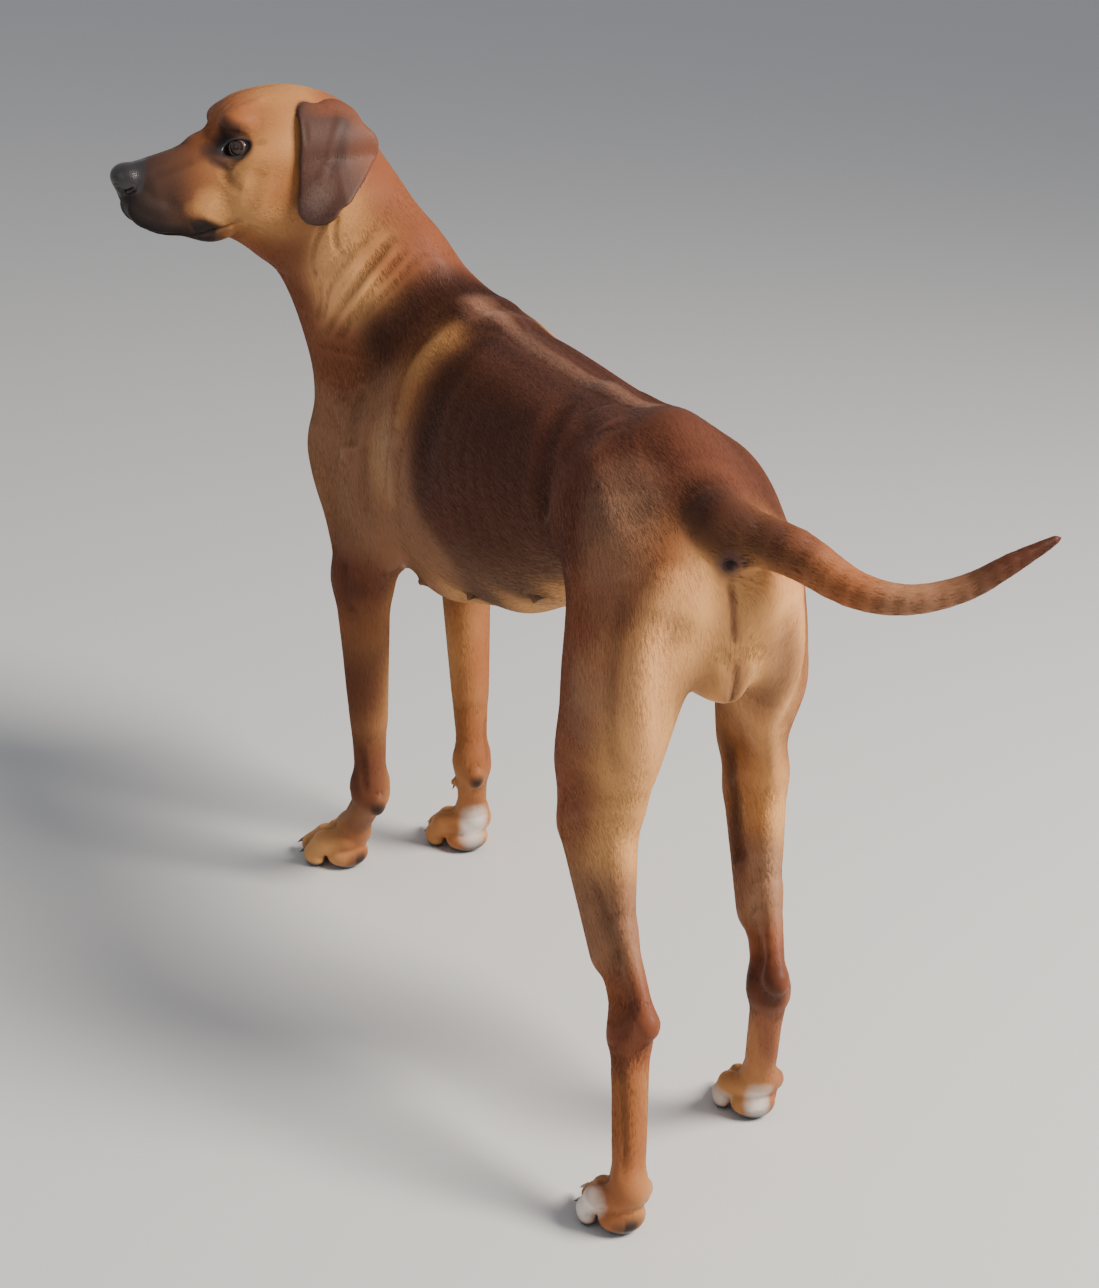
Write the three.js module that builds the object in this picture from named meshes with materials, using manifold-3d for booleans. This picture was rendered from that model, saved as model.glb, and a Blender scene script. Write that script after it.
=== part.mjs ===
// A standing Rhodesian Ridgeback bitch at life size, as a still museum model.
// +X is the dog's left, -Y is forward, +Z is up; millimetres.
//
// The body is one implicit form: limbs (tapered, round-ended) and masses (ellipsoids) laid along
// the skeleton and melted together. Each named sub-part is a skin cast over that form: rays leave
// a spine inside the sub-part and stop at the surface. Flat cuts then part the neighbours.
import * as THREE from 'three';
import { mergeVertices } from 'three/addons/utils/BufferGeometryUtils.js';
import Module from 'manifold-3d';

const wasm = await Module();
wasm.setup();

// ---------------------------------------------------------------- driving dimensions
const GAP = 0.3;              // space left between neighbouring sub-parts
const SPILL = 9;              // how far a cast runs past a flat cut before it is trimmed
const CUTTER = 1200;          // size of the block that makes a flat cut
const EYE_RADIUS = 11.5;
const EYE_PLACE = { ahead: -4, out: 30.5, above: 0 };       // from between the eyes
const EYE_LOOK = { ahead: 0.62, out: 0.75, above: 0.2 };
const CLAW_RADIUS = 4.6;
const CLAW_LENGTH = 26;
const CLAW_SAG = 0.22;             // how far a claw's tip drops, as a share of its length
const FOREPAW_SCALE = 1;
const HINDPAW_SCALE = 0.85;
const FORELEG_TOP = 350;      // height where a foreleg leaves the trunk
const THIGH_CUT = 408;        // height where a hind leg leaves the trunk
const WRIST_CUT = 80;         // height where a forepaw begins
const INSTEP_CUT = 66;        // height where a hind paw begins
const HEAD_ORIGIN = v(213, -345, 741);      // between the eyes
const HEAD_YAW = -1;
const HEAD_PITCH = 4;
const HEAD_ROLL = 1;

// Joints of the four legs. `toe` is the way the paw points, `thigh` is the middle of the thigh's
// muscle, and `full` is how full the thigh and the lower thigh are.
const LEFT_FORE = {
  side: 1, shoulder: v(98, -306, 445), elbow: v(104, -196, 342), wrist: v(91, -194, 116),
  knuckle: v(88, -250, 46), toe: v(0.45, -0.89, 0),
};
const RIGHT_FORE = {
  side: -1, shoulder: v(-60, -320, 448), elbow: v(-27, -262, 342), wrist: v(-36, -234, 116),
  knuckle: v(-48, -255, 46), toe: v(0.2, -1, 0),
};
const LEFT_HIND = {
  side: 1, hip: v(64, 285, 500), knee: v(72, 278, 306), hock: v(79, 400, 158), heel: v(76, 423, 173),
  knuckle: v(91, 448, 44), toe: v(0.05, -1, 0), thigh: v(70, 308, 409), full: 1,
};
const RIGHT_HIND = {
  side: -1, hip: v(-52, 278, 500), knee: v(-87, 250, 306), hock: v(-68, 360, 158), heel: v(-62, 383, 172),
  knuckle: v(-93, 322, 44), toe: v(-0.12, -1, 0), thigh: v(-71, 292, 444), full: 0.84,
};

// The tail hangs behind the rump, swings to the dog's right and turns up at its tip.
const TAIL_LINE = [
  v(0, 312, 556), v(4, 345, 556), v(-33, 385, 548), v(-64, 424, 530),
  v(-96, 452, 528), v(-134, 470, 541), v(-166, 480, 562), v(-198, 488, 582),
];
const TAIL_RADII = [24, 23, 20, 15.5, 12.5, 11, 9, 4.5];
const TAIL_STEPS = 3;         // limbs between two places on the line
const TAIL_ROOT = 4;          // limbs that melt into the rump
const TAIL_ROOT_BLEND = 12;
const TAIL_BLEND = 1.5;

// Toes: how far each stands to the side and how far ahead of the knuckle.
const TOES = [
  { across: -26, ahead: 31 }, { across: -10.5, ahead: 50 },
  { across: 10.5, ahead: 50 }, { across: 26, ahead: 31 },
];

// The ear's outline in the head's side plane: round strips from the fold to the tip.
const EAR_STRIPS = [
  { top: [-68, 28], bottom: [-56, -60], radii: [14, 14] },
  { top: [-92, 18], bottom: [-70, -52], radii: [26, 20] },
  { top: [-112, 0], bottom: [-94, -34], radii: [21, 20] },
];
const EAR = { fold: 46, rootOut: 32, hangOut: 34, thickness: 3.2, thinning: 0.9, push: 0.8 };

// ---------------------------------------------------------------- small vector helpers
function v(x, y, z) {
  return new THREE.Vector3(x, y, z);
}

function shift(point, x, y, z) {
  return v(point.x + x, point.y + y, point.z + z);
}

function along(point, direction, distance) {
  return point.clone().addScaledVector(direction, distance);
}

function between(start, end, share) {
  return start.clone().lerp(end, share);
}

function unit(from, to) {
  return to.clone().sub(from).normalize();
}

// The head's own axes: at zero yaw it looks to the dog's left.
function headAxes() {
  const yaw = THREE.MathUtils.degToRad(HEAD_YAW);
  const pitch = THREE.MathUtils.degToRad(HEAD_PITCH);
  const roll = THREE.MathUtils.degToRad(HEAD_ROLL);
  const level = Math.cos(pitch);
  const forward = v(Math.cos(yaw) * level, Math.sin(yaw) * level, -Math.sin(pitch));
  const left = v(-Math.sin(yaw), Math.cos(yaw), 0);
  const up = v(0, 0, 0).crossVectors(forward, left);
  left.applyAxisAngle(forward, roll);
  up.applyAxisAngle(forward, roll);
  return { forward, left, up };
}

const { forward: FORWARD, left: LEFT, up: UP } = headAxes();

// A point given ahead, to the left and above the middle of the eyes.
function inHead(ahead, left, above) {
  return HEAD_ORIGIN.clone().add(headWay(ahead, left, above));
}

function headWay(ahead, left, above) {
  const way = FORWARD.clone().multiplyScalar(ahead);
  return way.addScaledVector(LEFT, left).addScaledVector(UP, above);
}

// ---------------------------------------------------------------- the implicit form
const FAR = 60;
const REACH = 8;

function melt(a, b, blend) {
  const h = Math.max(blend - Math.abs(a - b), 0) / blend;
  return Math.min(a, b) - h * h * blend * 0.25;
}

// A tapered limb with round ends. `flat` names a direction in which it is thinner.
class Limb {
  constructor(from, to, radii, blend, flat) {
    [this.from, this.to, this.radii, this.blend] = [from, to, radii, blend];
    this.normal = flat ? flat.way.clone().normalize() : null;
    this.thin = flat ? flat.thin : 1;
    const radius = Math.max(...radii);
    this.box = new THREE.Box3().setFromPoints([from, to]).expandByScalar(radius + blend + REACH);
    this.axis = this.widen(to.clone().sub(from));
  }

  widen(vector) {
    if (!this.normal) return vector;
    return vector.addScaledVector(this.normal, vector.dot(this.normal) * (1 / this.thin - 1));
  }

  distance(point) {
    const offset = this.widen(point.clone().sub(this.from));
    const share = THREE.MathUtils.clamp(offset.dot(this.axis) / this.axis.lengthSq(), 0, 1);
    offset.addScaledVector(this.axis, -share);
    const length = offset.length() + 1e-6;
    const distance = length - THREE.MathUtils.lerp(this.radii[0], this.radii[1], share);
    if (!this.normal) return distance;
    const cosine = offset.dot(this.normal) / length;
    return distance / Math.sqrt(1 + (1 / this.thin ** 2 - 1) * cosine * cosine);
  }
}

// An ellipsoid, its sizes given along `lie`, then towards `side`, then square to both.
class Mass {
  constructor(centre, sizes, lie, blend, side = v(1, 0, 0)) {
    [this.centre, this.sizes, this.blend] = [centre, sizes, blend];
    const x = lie.clone().normalize();
    const lean = Math.abs(x.dot(side.clone().normalize())) > 0.95 ? v(0, 0, 1) : side.clone();
    const y = lean.addScaledVector(x, -lean.dot(x)).normalize();
    this.axes = [x, y, v(0, 0, 0).crossVectors(x, y)];
    const reach = (key) => Math.hypot(...this.axes.map((axis, i) => axis[key] * sizes[i]));
    this.box = new THREE.Box3(centre.clone(), centre.clone());
    this.box.expandByVector(v(reach('x'), reach('y'), reach('z'))).expandByScalar(blend + REACH);
  }

  distance(point) {
    const offset = point.clone().sub(this.centre);
    const scaled = this.axes.map((axis, i) => offset.dot(axis) / this.sizes[i]);
    const near = Math.hypot(...scaled) + 1e-6;
    const slope = Math.hypot(...scaled.map((value, i) => value / this.sizes[i])) + 1e-9;
    return near * (near - 1) / slope;
  }
}

// A hanging ear: a thin bowed sheet whose outline is the melted round strips.
class Flap {
  constructor(side) {
    [this.side, this.blend] = [side, 3];
    const corners = [];
    for (const ahead of [-142, -38]) {
      for (const out of [38, 104]) {
        for (const above of [-76, 50]) corners.push(inHead(ahead, side * out, above));
      }
    }
    this.box = new THREE.Box3().setFromPoints(corners).expandByScalar(this.blend + REACH);
  }

  // How much the turned neck pushes out the lower rear of the left ear, for each millimetre down.
  push(ahead) {
    return this.side > 0 ? EAR.push * THREE.MathUtils.clamp((-ahead - 38) / 50, 0, 1) : 0;
  }

  // How far out from the head's middle plane the sheet hangs.
  bow(ahead, above) {
    const fall = THREE.MathUtils.clamp((EAR.fold - above) / EAR.fold, 0, 1);
    const out = EAR.rootOut + EAR.hangOut * fall * (2 - fall);
    const pushed = this.push(ahead) * Math.max(0, -8 - above);
    return out + pushed - 0.12 * Math.max(0, -ahead - 96) - 0.05 * Math.max(0, -above);
  }

  // The distance to the sheet's edge, in the head's side plane.
  outline(ahead, above) {
    let outline = FAR;
    for (const { top, bottom, radii } of EAR_STRIPS) {
      const run = [bottom[0] - top[0], bottom[1] - top[1]];
      const along = ((ahead - top[0]) * run[0] + (above - top[1]) * run[1]) / (run[0] ** 2 + run[1] ** 2);
      const share = THREE.MathUtils.clamp(along, 0, 1);
      const away = Math.hypot(ahead - top[0] - run[0] * share, above - top[1] - run[1] * share);
      outline = melt(outline, away - THREE.MathUtils.lerp(radii[0], radii[1], share), 8);
    }
    return outline;
  }

  distance(point) {
    const offset = point.clone().sub(HEAD_ORIGIN);
    const [ahead, out, above] = [offset.dot(FORWARD), offset.dot(LEFT) * this.side, offset.dot(UP)];
    const fall = THREE.MathUtils.clamp((EAR.fold - above) / EAR.fold, 0, 1);
    const slope = above < -8 ? 1.15 * this.push(ahead) : 0;
    const steep = Math.hypot(1, slope, fall > 0 ? 2 * EAR.hangOut * (1 - fall) / EAR.fold : 0);
    const thickness = EAR.thickness - EAR.thinning * THREE.MathUtils.clamp(-above / 60, 0, 1);
    const depth = thickness - Math.abs(out - this.bow(ahead, above)) / steep;
    return -melt(depth, -this.outline(ahead, above), this.blend);
  }
}

// The form's field, less the hollows: negative inside, in about millimetres.
function fieldOf(forms, hollows = []) {
  return (point) => {
    let value = FAR;
    for (const form of forms) {
      if (form.box.containsPoint(point)) value = melt(value, form.distance(point), form.blend);
    }
    for (const hollow of hollows) {
      if (hollow.box.containsPoint(point)) value = -melt(-value, hollow.distance(point), hollow.blend);
    }
    return value;
  };
}

// ---------------------------------------------------------------- the dog's forms
function trunkForms() {
  const forms = [
    new Mass(v(16, -165, 474), [165, 92, 136], v(0, -1, -0.08), 40),          // front of the ribcage
    new Mass(v(8, -60, 490), [205, 102, 122], v(0, -1, -0.06), 40),           // ribcage
    new Mass(v(0, 90, 518), [205, 88, 77], v(0, -1, -0.1), 36),               // loin and belly
    new Mass(v(0, 255, 520), [115, 66, 74], v(0, -1, 0.35), 40),              // pelvis
    new Limb(v(14, -196, 594), v(6, -110, 590), [22, 20], 34),                // spine
    new Limb(v(6, -110, 590), v(0, 120, 586), [18, 18], 34),
    new Limb(v(0, 120, 586), v(0, 225, 588), [18, 22], 34),
    new Limb(v(0, 225, 586), v(0, 330, 548), [24, 22], 34),
    new Limb(v(24, -318, 440), v(20, -150, 372), [36, 30], 34),               // breastbone
    new Limb(v(20, -150, 372), v(8, -20, 406), [28, 30], 36),
    new Limb(v(8, -20, 406), v(0, 130, 482), [30, 28], 32),                   // belly line
    new Mass(v(22, -292, 462), [66, 66, 44], v(0, 0.2, -1), 40),              // front of the chest
    new Mass(v(-4, 332, 462), [30, 38, 52], v(0, 1, 0.1), 18),                // seat
    new Mass(v(-6, 347, 434), [14, 14, 20], v(0, 1, 0), 14),                  // vulva
  ];
  for (const side of [1, -1]) {
    forms.push(
      new Limb(v(side * 30 + 8, -130, 560), v(side * 32, 215, 562), [30, 32], 26),
      new Limb(v(side * 38, 215, 548), v(side * 36, 325, 522), [38, 30], 26),
      new Mass(v(side * 56, 225, 530), [56, 30, 44], v(0, -0.8, -0.35), 30),
      new Mass(v(22 + side * 36, -300, 418), [60, 36, 48], v(0, 0.25, -1), 34),
      new Mass(v(20 + side * 42, -235, 384), [60, 26, 30], v(0, 1, 0.1), 24),
    );
  }
  return forms;
}

function forelegForms({ side, shoulder, elbow, wrist, knuckle, toe }) {
  const withers = v(10 + side * 24, -172, 588);
  const blade = { way: v(side, 0.1, 0.25), thin: 0.5 };
  const bladeTop = shift(withers, side * 12, 44, -34);
  const upperArm = { way: v(side, 0, 0.1), thin: 0.85 };
  const out = v(side, 0, 0);
  const up = unit(wrist, elbow);
  const triceps = shift(between(shoulder, elbow, 0.5), -side * 2, 50, 46);
  const calf = shift(between(elbow, wrist, 0.66), 0, 3, 0);
  return [
    new Limb(withers, shift(shoulder, -side * 4, 14, 0), [30, 40], 32, blade),
    new Limb(bladeTop, shift(shoulder, -side * 6, 66, 20), [28, 36], 26, { ...blade, thin: 0.55 }),
    new Limb(shoulder, shift(elbow, 0, -18, 14), [37, 32], 32, upperArm),
    new Mass(triceps, [88, 30, 46], v(0, 0.42, -0.9), 28, out),
    new Limb(shift(elbow, 0, -3, 22), shift(elbow, 0, -6, -6), [27, 26], 18),
    new Mass(shift(elbow, 0, 13, 8), [22, 13, 13], v(0, 0.2, 1), 12, out),
    new Limb(shift(elbow, side * 2, -13, -6), along(wrist, up, 14), [28, 16.5], 16),
    new Limb(shift(elbow, 0, 2, -20), calf, [20, 13], 14),
    new Mass(wrist, [24, 20, 19], up, 12, out),
    new Mass(shift(wrist, -side * 2, 17, -13), [13, 9, 9], v(0, 0.3, 1), 6, out),
    new Limb(along(wrist, up, -10), knuckle, [17, 16], 12, { way: v(0, 1, 0.2), thin: 0.9 }),
    ...pawForms(knuckle, toe, FOREPAW_SCALE),
  ];
}

function hindlegForms({ side, hip, knee, hock, heel, knuckle, toe, thigh, full }) {
  const seat = v(side * 41 + 3, 344, 502);
  const front = shift(seat, side * 8, -38, -10);
  const rear = shift(seat, -side * 4, -8, -12);
  const shin = shift(between(hock, knee, 0.3), 0, -13, 0);
  const calf = shift(between(hock, knee, 0.42), 0, 18, 6);
  const out = v(side, 0, 0);
  const flat = (thin, way = out) => ({ way, thin });
  const hamstring = v(side, 0.2, 0);
  return [
    new Limb(shift(hip, 0, -14, 0), shift(knee, 0, 0, 40), [54, 35], 28, flat(0.62, v(side, 0, 0.1))),
    new Limb(front, shift(knee, 0, 38 * full, 50), [44, 23 * full], 28, flat(0.66, hamstring)),
    new Limb(rear, shift(knee, -side * 6, 60 * full, 24), [30 * full, 12], 26, flat(0.75, hamstring)),
    new Mass(thigh, [92 * full, 31 * full, 56 * full], unit(hip, knee), 28, out),
    new Mass(shift(knee, 0, -6 * full, 30), [44, 24 * full, 24 * full], v(0, -0.1, 1), 22, out),
    new Limb(shift(knee, side * 2, 4, -22), shin, [27 * full, 20 * full], 24, flat(0.85)),
    new Limb(shift(knee, 0, 42 * full, 4), calf, [29 * full, 14], 24, flat(0.8)),
    new Limb(between(hock, knee, 0.5), hock, [15, 14], 12, flat(0.9)),
    new Limb(shift(calf, 0, 4, 6), shift(heel, 0, 0, 4), [10, 9], 10),
    new Limb(heel, shift(hock, 0, 12, 0), [13, 13], 10, flat(0.85)),
    new Mass(hock, [22, 17, 20], v(0, 0, 1), 10, out),
    new Limb(shift(hock, 0, 6, -8), knuckle, [17, 15], 10, flat(0.95)),
    ...pawForms(knuckle, toe, HINDPAW_SCALE),
  ];
}

// The place of a point of the paw: ahead along the toes, across to their left, at a height.
function onPaw(knuckle, toe, ahead, across, height) {
  const way = toe.clone().normalize();
  return v(knuckle.x + way.x * ahead - way.y * across, knuckle.y + way.y * ahead + way.x * across, height);
}

function pawForms(knuckle, toe, scale) {
  const way = toe.clone().normalize();
  const leftward = v(-way.y, way.x, 0);
  const forms = [
    new Limb(knuckle, onPaw(knuckle, toe, 14, 0, 28), [19 * scale, 20 * scale], 10),
    new Mass(onPaw(knuckle, toe, 6, 0, 14.5), [20 * scale, 25 * scale, 16], way, 8, leftward),
  ];
  for (const { across, ahead } of TOES) {
    const [out, reach] = [across * scale, ahead * scale];
    const root = onPaw(knuckle, toe, 2, out * 0.45, 36);
    const joint = onPaw(knuckle, toe, reach * 0.58, out * 0.9, 30);
    const tip = onPaw(knuckle, toe, reach, out, 14);
    forms.push(
      new Limb(root, joint, [14 * scale, 12.5 * scale], 4),
      new Limb(joint, tip, [12.5 * scale, 11 * scale], 4),
      new Mass(onPaw(knuckle, toe, reach - 2, out, 8), [12 * scale, 9.5 * scale, 9.5], way, 3, leftward),
    );
  }
  return forms;
}

const NECK_BASE = v(20, -228, 530);
const NECK_MIDDLE = v(74, -270, 612);
const NECK_TOP = v(106, -306, 670);
const POLL = inHead(-86, 0, -16);

function neckForms() {
  const forms = [
    new Limb(NECK_BASE, NECK_MIDDLE, [82, 64], 40, { way: v(1, 0, 0), thin: 0.85 }),
    new Limb(NECK_MIDDLE, NECK_TOP, [64, 57], 36),
    new Limb(NECK_TOP, POLL, [56, 48], 26, { way: v(0.3, 1, 0), thin: 0.86 }),
    new Limb(v(12, -180, 586), v(58, -246, 649), [30, 27], 34),               // crest
    new Limb(v(58, -246, 649), inHead(-106, 0, 1), [27, 26], 30),
    new Limb(v(26, -304, 470), v(92, -320, 600), [40, 36], 40),               // throat
    new Limb(v(100, -324, 600), inHead(-46, 0, -80), [37, 26], 34),
  ];
  for (const side of [1, -1]) {
    forms.push(new Limb(v(22 + side * 68, -284, 480), v(80 + side * 34, -292, 618), [40, 32], 36));
  }
  return forms;
}

function headForms() {
  const forms = [
    new Mass(inHead(-56, 0, 8), [64, 54, 47], headWay(1, 0, 0.1), 18, LEFT),            // skull
    new Mass(inHead(-14, 0, 18), [32, 36, 27], FORWARD, 18, LEFT),                      // forehead
    new Mass(inHead(22, 0, 6), [18, 16, 12], FORWARD, 12, LEFT),                        // stop
    new Limb(inHead(-92, 0, 18), inHead(-108, 0, 6), [20, 18], 14),
    new Limb(inHead(14, 0, -32), inHead(84, 0, -38), [36, 27], 16, { way: LEFT, thin: 0.8 }),
    new Limb(inHead(26, 0, -11), inHead(98, 0, -28), [17, 12], 12),                     // bridge
    new Limb(inHead(100, 5, -27), inHead(100, -5, -27), [13, 13], 6),                   // nose
    new Mass(inHead(104, 0, -24), [13, 14, 12], FORWARD, 6, LEFT),
    new Limb(inHead(-44, 0, -60), inHead(88, 0, -60), [30, 13], 12, { way: UP, thin: 0.85 }),
    new Limb(inHead(0, 0, -66), inHead(-36, 0, -86), [21, 25], 22),                     // throat
  ];
  for (const side of [1, -1]) {
    forms.push(
      new Mass(inHead(64, side * 17, -58), [42, 13, 24], headWay(1, 0, 0.12), 10, LEFT),    // flew
      new Mass(inHead(26, side * 21, -70), [26, 12, 20], FORWARD, 14, LEFT),
      new Mass(inHead(-34, side * 42, -34), [46, 19, 42], FORWARD, 24, LEFT),               // cheek
      new Mass(inHead(22, side * 25, -42), [34, 13, 24], FORWARD, 18, LEFT),
      new Mass(inHead(-32, side * 46, -6), [29, 11, 12], headWay(1, 0, -0.1), 16, LEFT),
      new Mass(inHead(-3, side * 28, 24), [16, 13, 11], FORWARD, 12, LEFT),                 // brow
      new Limb(inHead(8, side * 25, -14), inHead(74, side * 14, -32), [15, 11], 14),
    );
  }
  return forms;
}

function eyeCentre(side) {
  return inHead(EYE_PLACE.ahead, side * EYE_PLACE.out, EYE_PLACE.above);
}

// The hollow in front of each eyeball.
function socketForms() {
  return [1, -1].map((side) => {
    const look = headWay(EYE_LOOK.ahead, side * EYE_LOOK.out, EYE_LOOK.above).normalize();
    return new Mass(along(eyeCentre(side), look, 16), [13, 8, 10], headWay(0.77, -side * 0.64, 0), 8, look);
  });
}

function tailForms() {
  const count = (TAIL_LINE.length - 1) * TAIL_STEPS;
  const line = new THREE.CatmullRomCurve3(TAIL_LINE, false, 'catmullrom').getPoints(count);
  const radius = (i) => {
    const start = Math.min(Math.floor(i / TAIL_STEPS), TAIL_LINE.length - 2);
    return THREE.MathUtils.lerp(TAIL_RADII[start], TAIL_RADII[start + 1], i / TAIL_STEPS - start);
  };
  return line.slice(1).map((point, i) => {
    const blend = i < TAIL_ROOT ? TAIL_ROOT_BLEND : TAIL_BLEND;
    return new Limb(line[i], point, [radius(i), radius(i + 1)], blend);
  });
}

const torsoForms = [
  ...trunkForms(), ...forelegForms(LEFT_FORE), ...forelegForms(RIGHT_FORE),
  ...hindlegForms(LEFT_HIND), ...hindlegForms(RIGHT_HIND), ...neckForms(), ...headForms(),
];
const tail = tailForms();
const flesh = fieldOf([...torsoForms, ...tail.slice(0, TAIL_ROOT)], socketForms());
const wholeTail = fieldOf(tail);

// ---------------------------------------------------------------- casting a skin
// A parting is a plane between two sub-parts, and its normal points to the second one.
function parting(point, normal) {
  return { point, normal: normal.clone().normalize() };
}

// The plane that the first sub-part ends at, and the one that the second ends at.
const before = (plane) => plane;
const after = ({ point, normal }) => {
  return { point: along(point, normal, GAP), normal: normal.clone().negate() };
};

// A field that also ends a little past each of the walls.
function within(field, walls, grown = 0) {
  return (point) => {
    const past = walls.map(({ point: on, normal }) => point.clone().sub(on).dot(normal) - SPILL);
    return Math.max(field(point) - grown, ...past);
  };
}

// How far a test holds, going outward from zero.
function reachOf(test, step) {
  let [inside, outside] = [0, step];
  while (test(outside) && outside < CUTTER) [inside, outside] = [outside, outside + step];
  for (let i = 0; i < 14; i += 1) {
    const middle = (inside + outside) / 2;
    if (test(middle)) inside = middle;
    else outside = middle;
  }
  return Math.max(inside, 0.05);
}

// The point where a ray from inside the form first leaves it.
function leave(field, start, way, step) {
  return along(start, way, reachOf((reach) => field(along(start, way, reach)) < 0, step));
}

// The faces of a shell of rings of points, with a pole before the first and after the last.
function ringFaces(rings, rays) {
  const faces = [];
  const corner = (ring, ray) => 1 + ring * rays + (ray % rays);
  for (let ray = 0; ray < rays; ray += 1) {
    faces.push(0, corner(0, ray + 1), corner(0, ray));
    for (let ring = 0; ring < rings - 1; ring += 1) {
      const [a, b] = [corner(ring, ray), corner(ring, ray + 1)];
      const [c, d] = [corner(ring + 1, ray + 1), corner(ring + 1, ray)];
      faces.push(a, b, c, a, c, d);
    }
    faces.push(rings * rays + 1, corner(rings - 1, ray), corner(rings - 1, ray + 1));
  }
  return faces;
}

// Rays leave a spine square to it, in rings, and fan out over both ends to a pole.
function cast(field, { spine, rings, rays, caps, side = v(1, 0, 0), step = 6 }) {
  const line = new THREE.CatmullRomCurve3(spine, false, 'centripetal');
  const stations = [];
  for (let i = 1; i < caps; i += 1) stations.push({ at: 0, tilt: (i / caps - 1) * Math.PI / 2 });
  for (let i = 0; i <= rings; i += 1) stations.push({ at: i / rings, tilt: 0 });
  for (let i = 1; i < caps; i += 1) stations.push({ at: 1, tilt: (i / caps) * Math.PI / 2 });
  const places = [];
  const drop = (start, way) => {
    const end = leave(field, start, way, step);
    places.push(end.x, end.y, end.z);
  };
  drop(line.getPointAt(0), line.getTangentAt(0).negate());
  for (const { at, tilt } of stations) {
    const [start, ahead] = [line.getPointAt(at), line.getTangentAt(at)];
    const across = side.clone().addScaledVector(ahead, -side.dot(ahead)).normalize();
    const upward = v(0, 0, 0).crossVectors(ahead, across);
    for (let ray = 0; ray < rays; ray += 1) {
      const turn = (ray / rays) * Math.PI * 2;
      const way = across.clone().multiplyScalar(Math.cos(turn)).addScaledVector(upward, Math.sin(turn));
      drop(start, way.multiplyScalar(Math.cos(tilt)).addScaledVector(ahead, Math.sin(tilt)));
    }
  }
  drop(line.getPointAt(1), line.getTangentAt(1));
  return solid(shell(places, ringFaces(stations.length, rays)));
}

// Rays leave one point evenly in every direction.
function burst(field, centre, detail, step = 3) {
  const sphere = bare(new THREE.IcosahedronGeometry(1, detail));
  const places = sphere.getAttribute('position');
  for (let i = 0; i < places.count; i += 1) {
    const way = v(0, 0, 0).fromBufferAttribute(places, i).normalize();
    const end = leave(field, centre, way, step);
    places.setXYZ(i, end.x, end.y, end.z);
  }
  return solid(sphere);
}

// ---------------------------------------------------------------- solids and cuts
function shell(places, faces) {
  const geometry = new THREE.BufferGeometry();
  geometry.setAttribute('position', new THREE.Float32BufferAttribute(places, 3));
  geometry.setIndex(faces);
  return geometry;
}

// A geometry with only its places left, shared between neighbouring faces.
function bare(geometry) {
  geometry.deleteAttribute('normal');
  geometry.deleteAttribute('uv');
  return mergeVertices(geometry, 1e-5);
}

function solid(geometry) {
  const vertProperties = Float32Array.from(geometry.getAttribute('position').array);
  const triVerts = Uint32Array.from(geometry.getIndex().array);
  return new wasm.Manifold(new wasm.Mesh({ numProp: 3, vertProperties, triVerts }));
}

function block(centre, sizes, turn = new THREE.Quaternion()) {
  const geometry = new THREE.BoxGeometry(...sizes);
  geometry.applyQuaternion(turn);
  geometry.translate(centre.x, centre.y, centre.z);
  return solid(bare(geometry));
}

// The block that fills the far side of a wall.
function beyond({ point, normal }) {
  const turn = new THREE.Quaternion().setFromUnitVectors(v(0, 0, 1), normal);
  return block(along(point, normal, CUTTER / 2), [CUTTER, CUTTER, CUTTER], turn);
}

function trim(body, walls) {
  return walls.reduce((left, plane) => left.subtract(beyond(plane)), body);
}

function ball(centre, radius) {
  const geometry = new THREE.SphereGeometry(radius, 16, 12);
  geometry.translate(centre.x, centre.y, centre.z);
  return solid(bare(geometry));
}

// ---------------------------------------------------------------- where the sub-parts meet
const TRUNK_TO_NECK = parting(v(44, -250, 572), v(0.45, -0.5, 0.74));
const NECK_TO_HEAD = parting(inHead(-108, 0, 12), headWay(0.846, 0, 0.533));
const FLOOR = parting(v(0, 0, 0), v(0, 0, -1));
const NOSE_BLOCK = { corner: [92, -42], size: 80 };

// The columns below the trunk that the legs stand in.
const LEGS = [
  { name: 'foreleg_left', joints: LEFT_FORE, x: [62, 165], y: [-262, -150], top: FORELEG_TOP },
  { name: 'foreleg_right', joints: RIGHT_FORE, x: [-100, 2], y: [-320, -195], top: FORELEG_TOP },
  { name: 'hindleg_left', joints: LEFT_HIND, x: [-3, 220], y: [90, 500], top: THIGH_CUT },
  { name: 'hindleg_right', joints: RIGHT_HIND, x: [-220, -3], y: [90, 500], top: THIGH_CUT },
];

function columnWalls({ x, y, top }) {
  return [
    parting(v(x[1], 0, 0), v(1, 0, 0)), parting(v(x[0], 0, 0), v(-1, 0, 0)),
    parting(v(0, y[1], 0), v(0, 1, 0)), parting(v(0, y[0], 0), v(0, -1, 0)),
    parting(v(0, 0, top), v(0, 0, 1)),
  ];
}

function column({ x, y, top }, inset) {
  const bottom = -100;
  const centre = v((x[0] + x[1]) / 2, (y[0] + y[1]) / 2, (top - inset + bottom) / 2);
  return block(centre, [x[1] - x[0] - 2 * inset, y[1] - y[0] - 2 * inset, top - inset - bottom]);
}

// The block ahead of the muzzle's end that holds the nose.
function noseBlock(grown) {
  const { corner, size } = NOSE_BLOCK;
  const centre = inHead(corner[0] - grown + size / 2, 0, corner[1] - grown + size / 2);
  const basis = new THREE.Matrix4().makeBasis(FORWARD, LEFT, UP);
  return block(centre, [size, size, size], new THREE.Quaternion().setFromRotationMatrix(basis));
}

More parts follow.
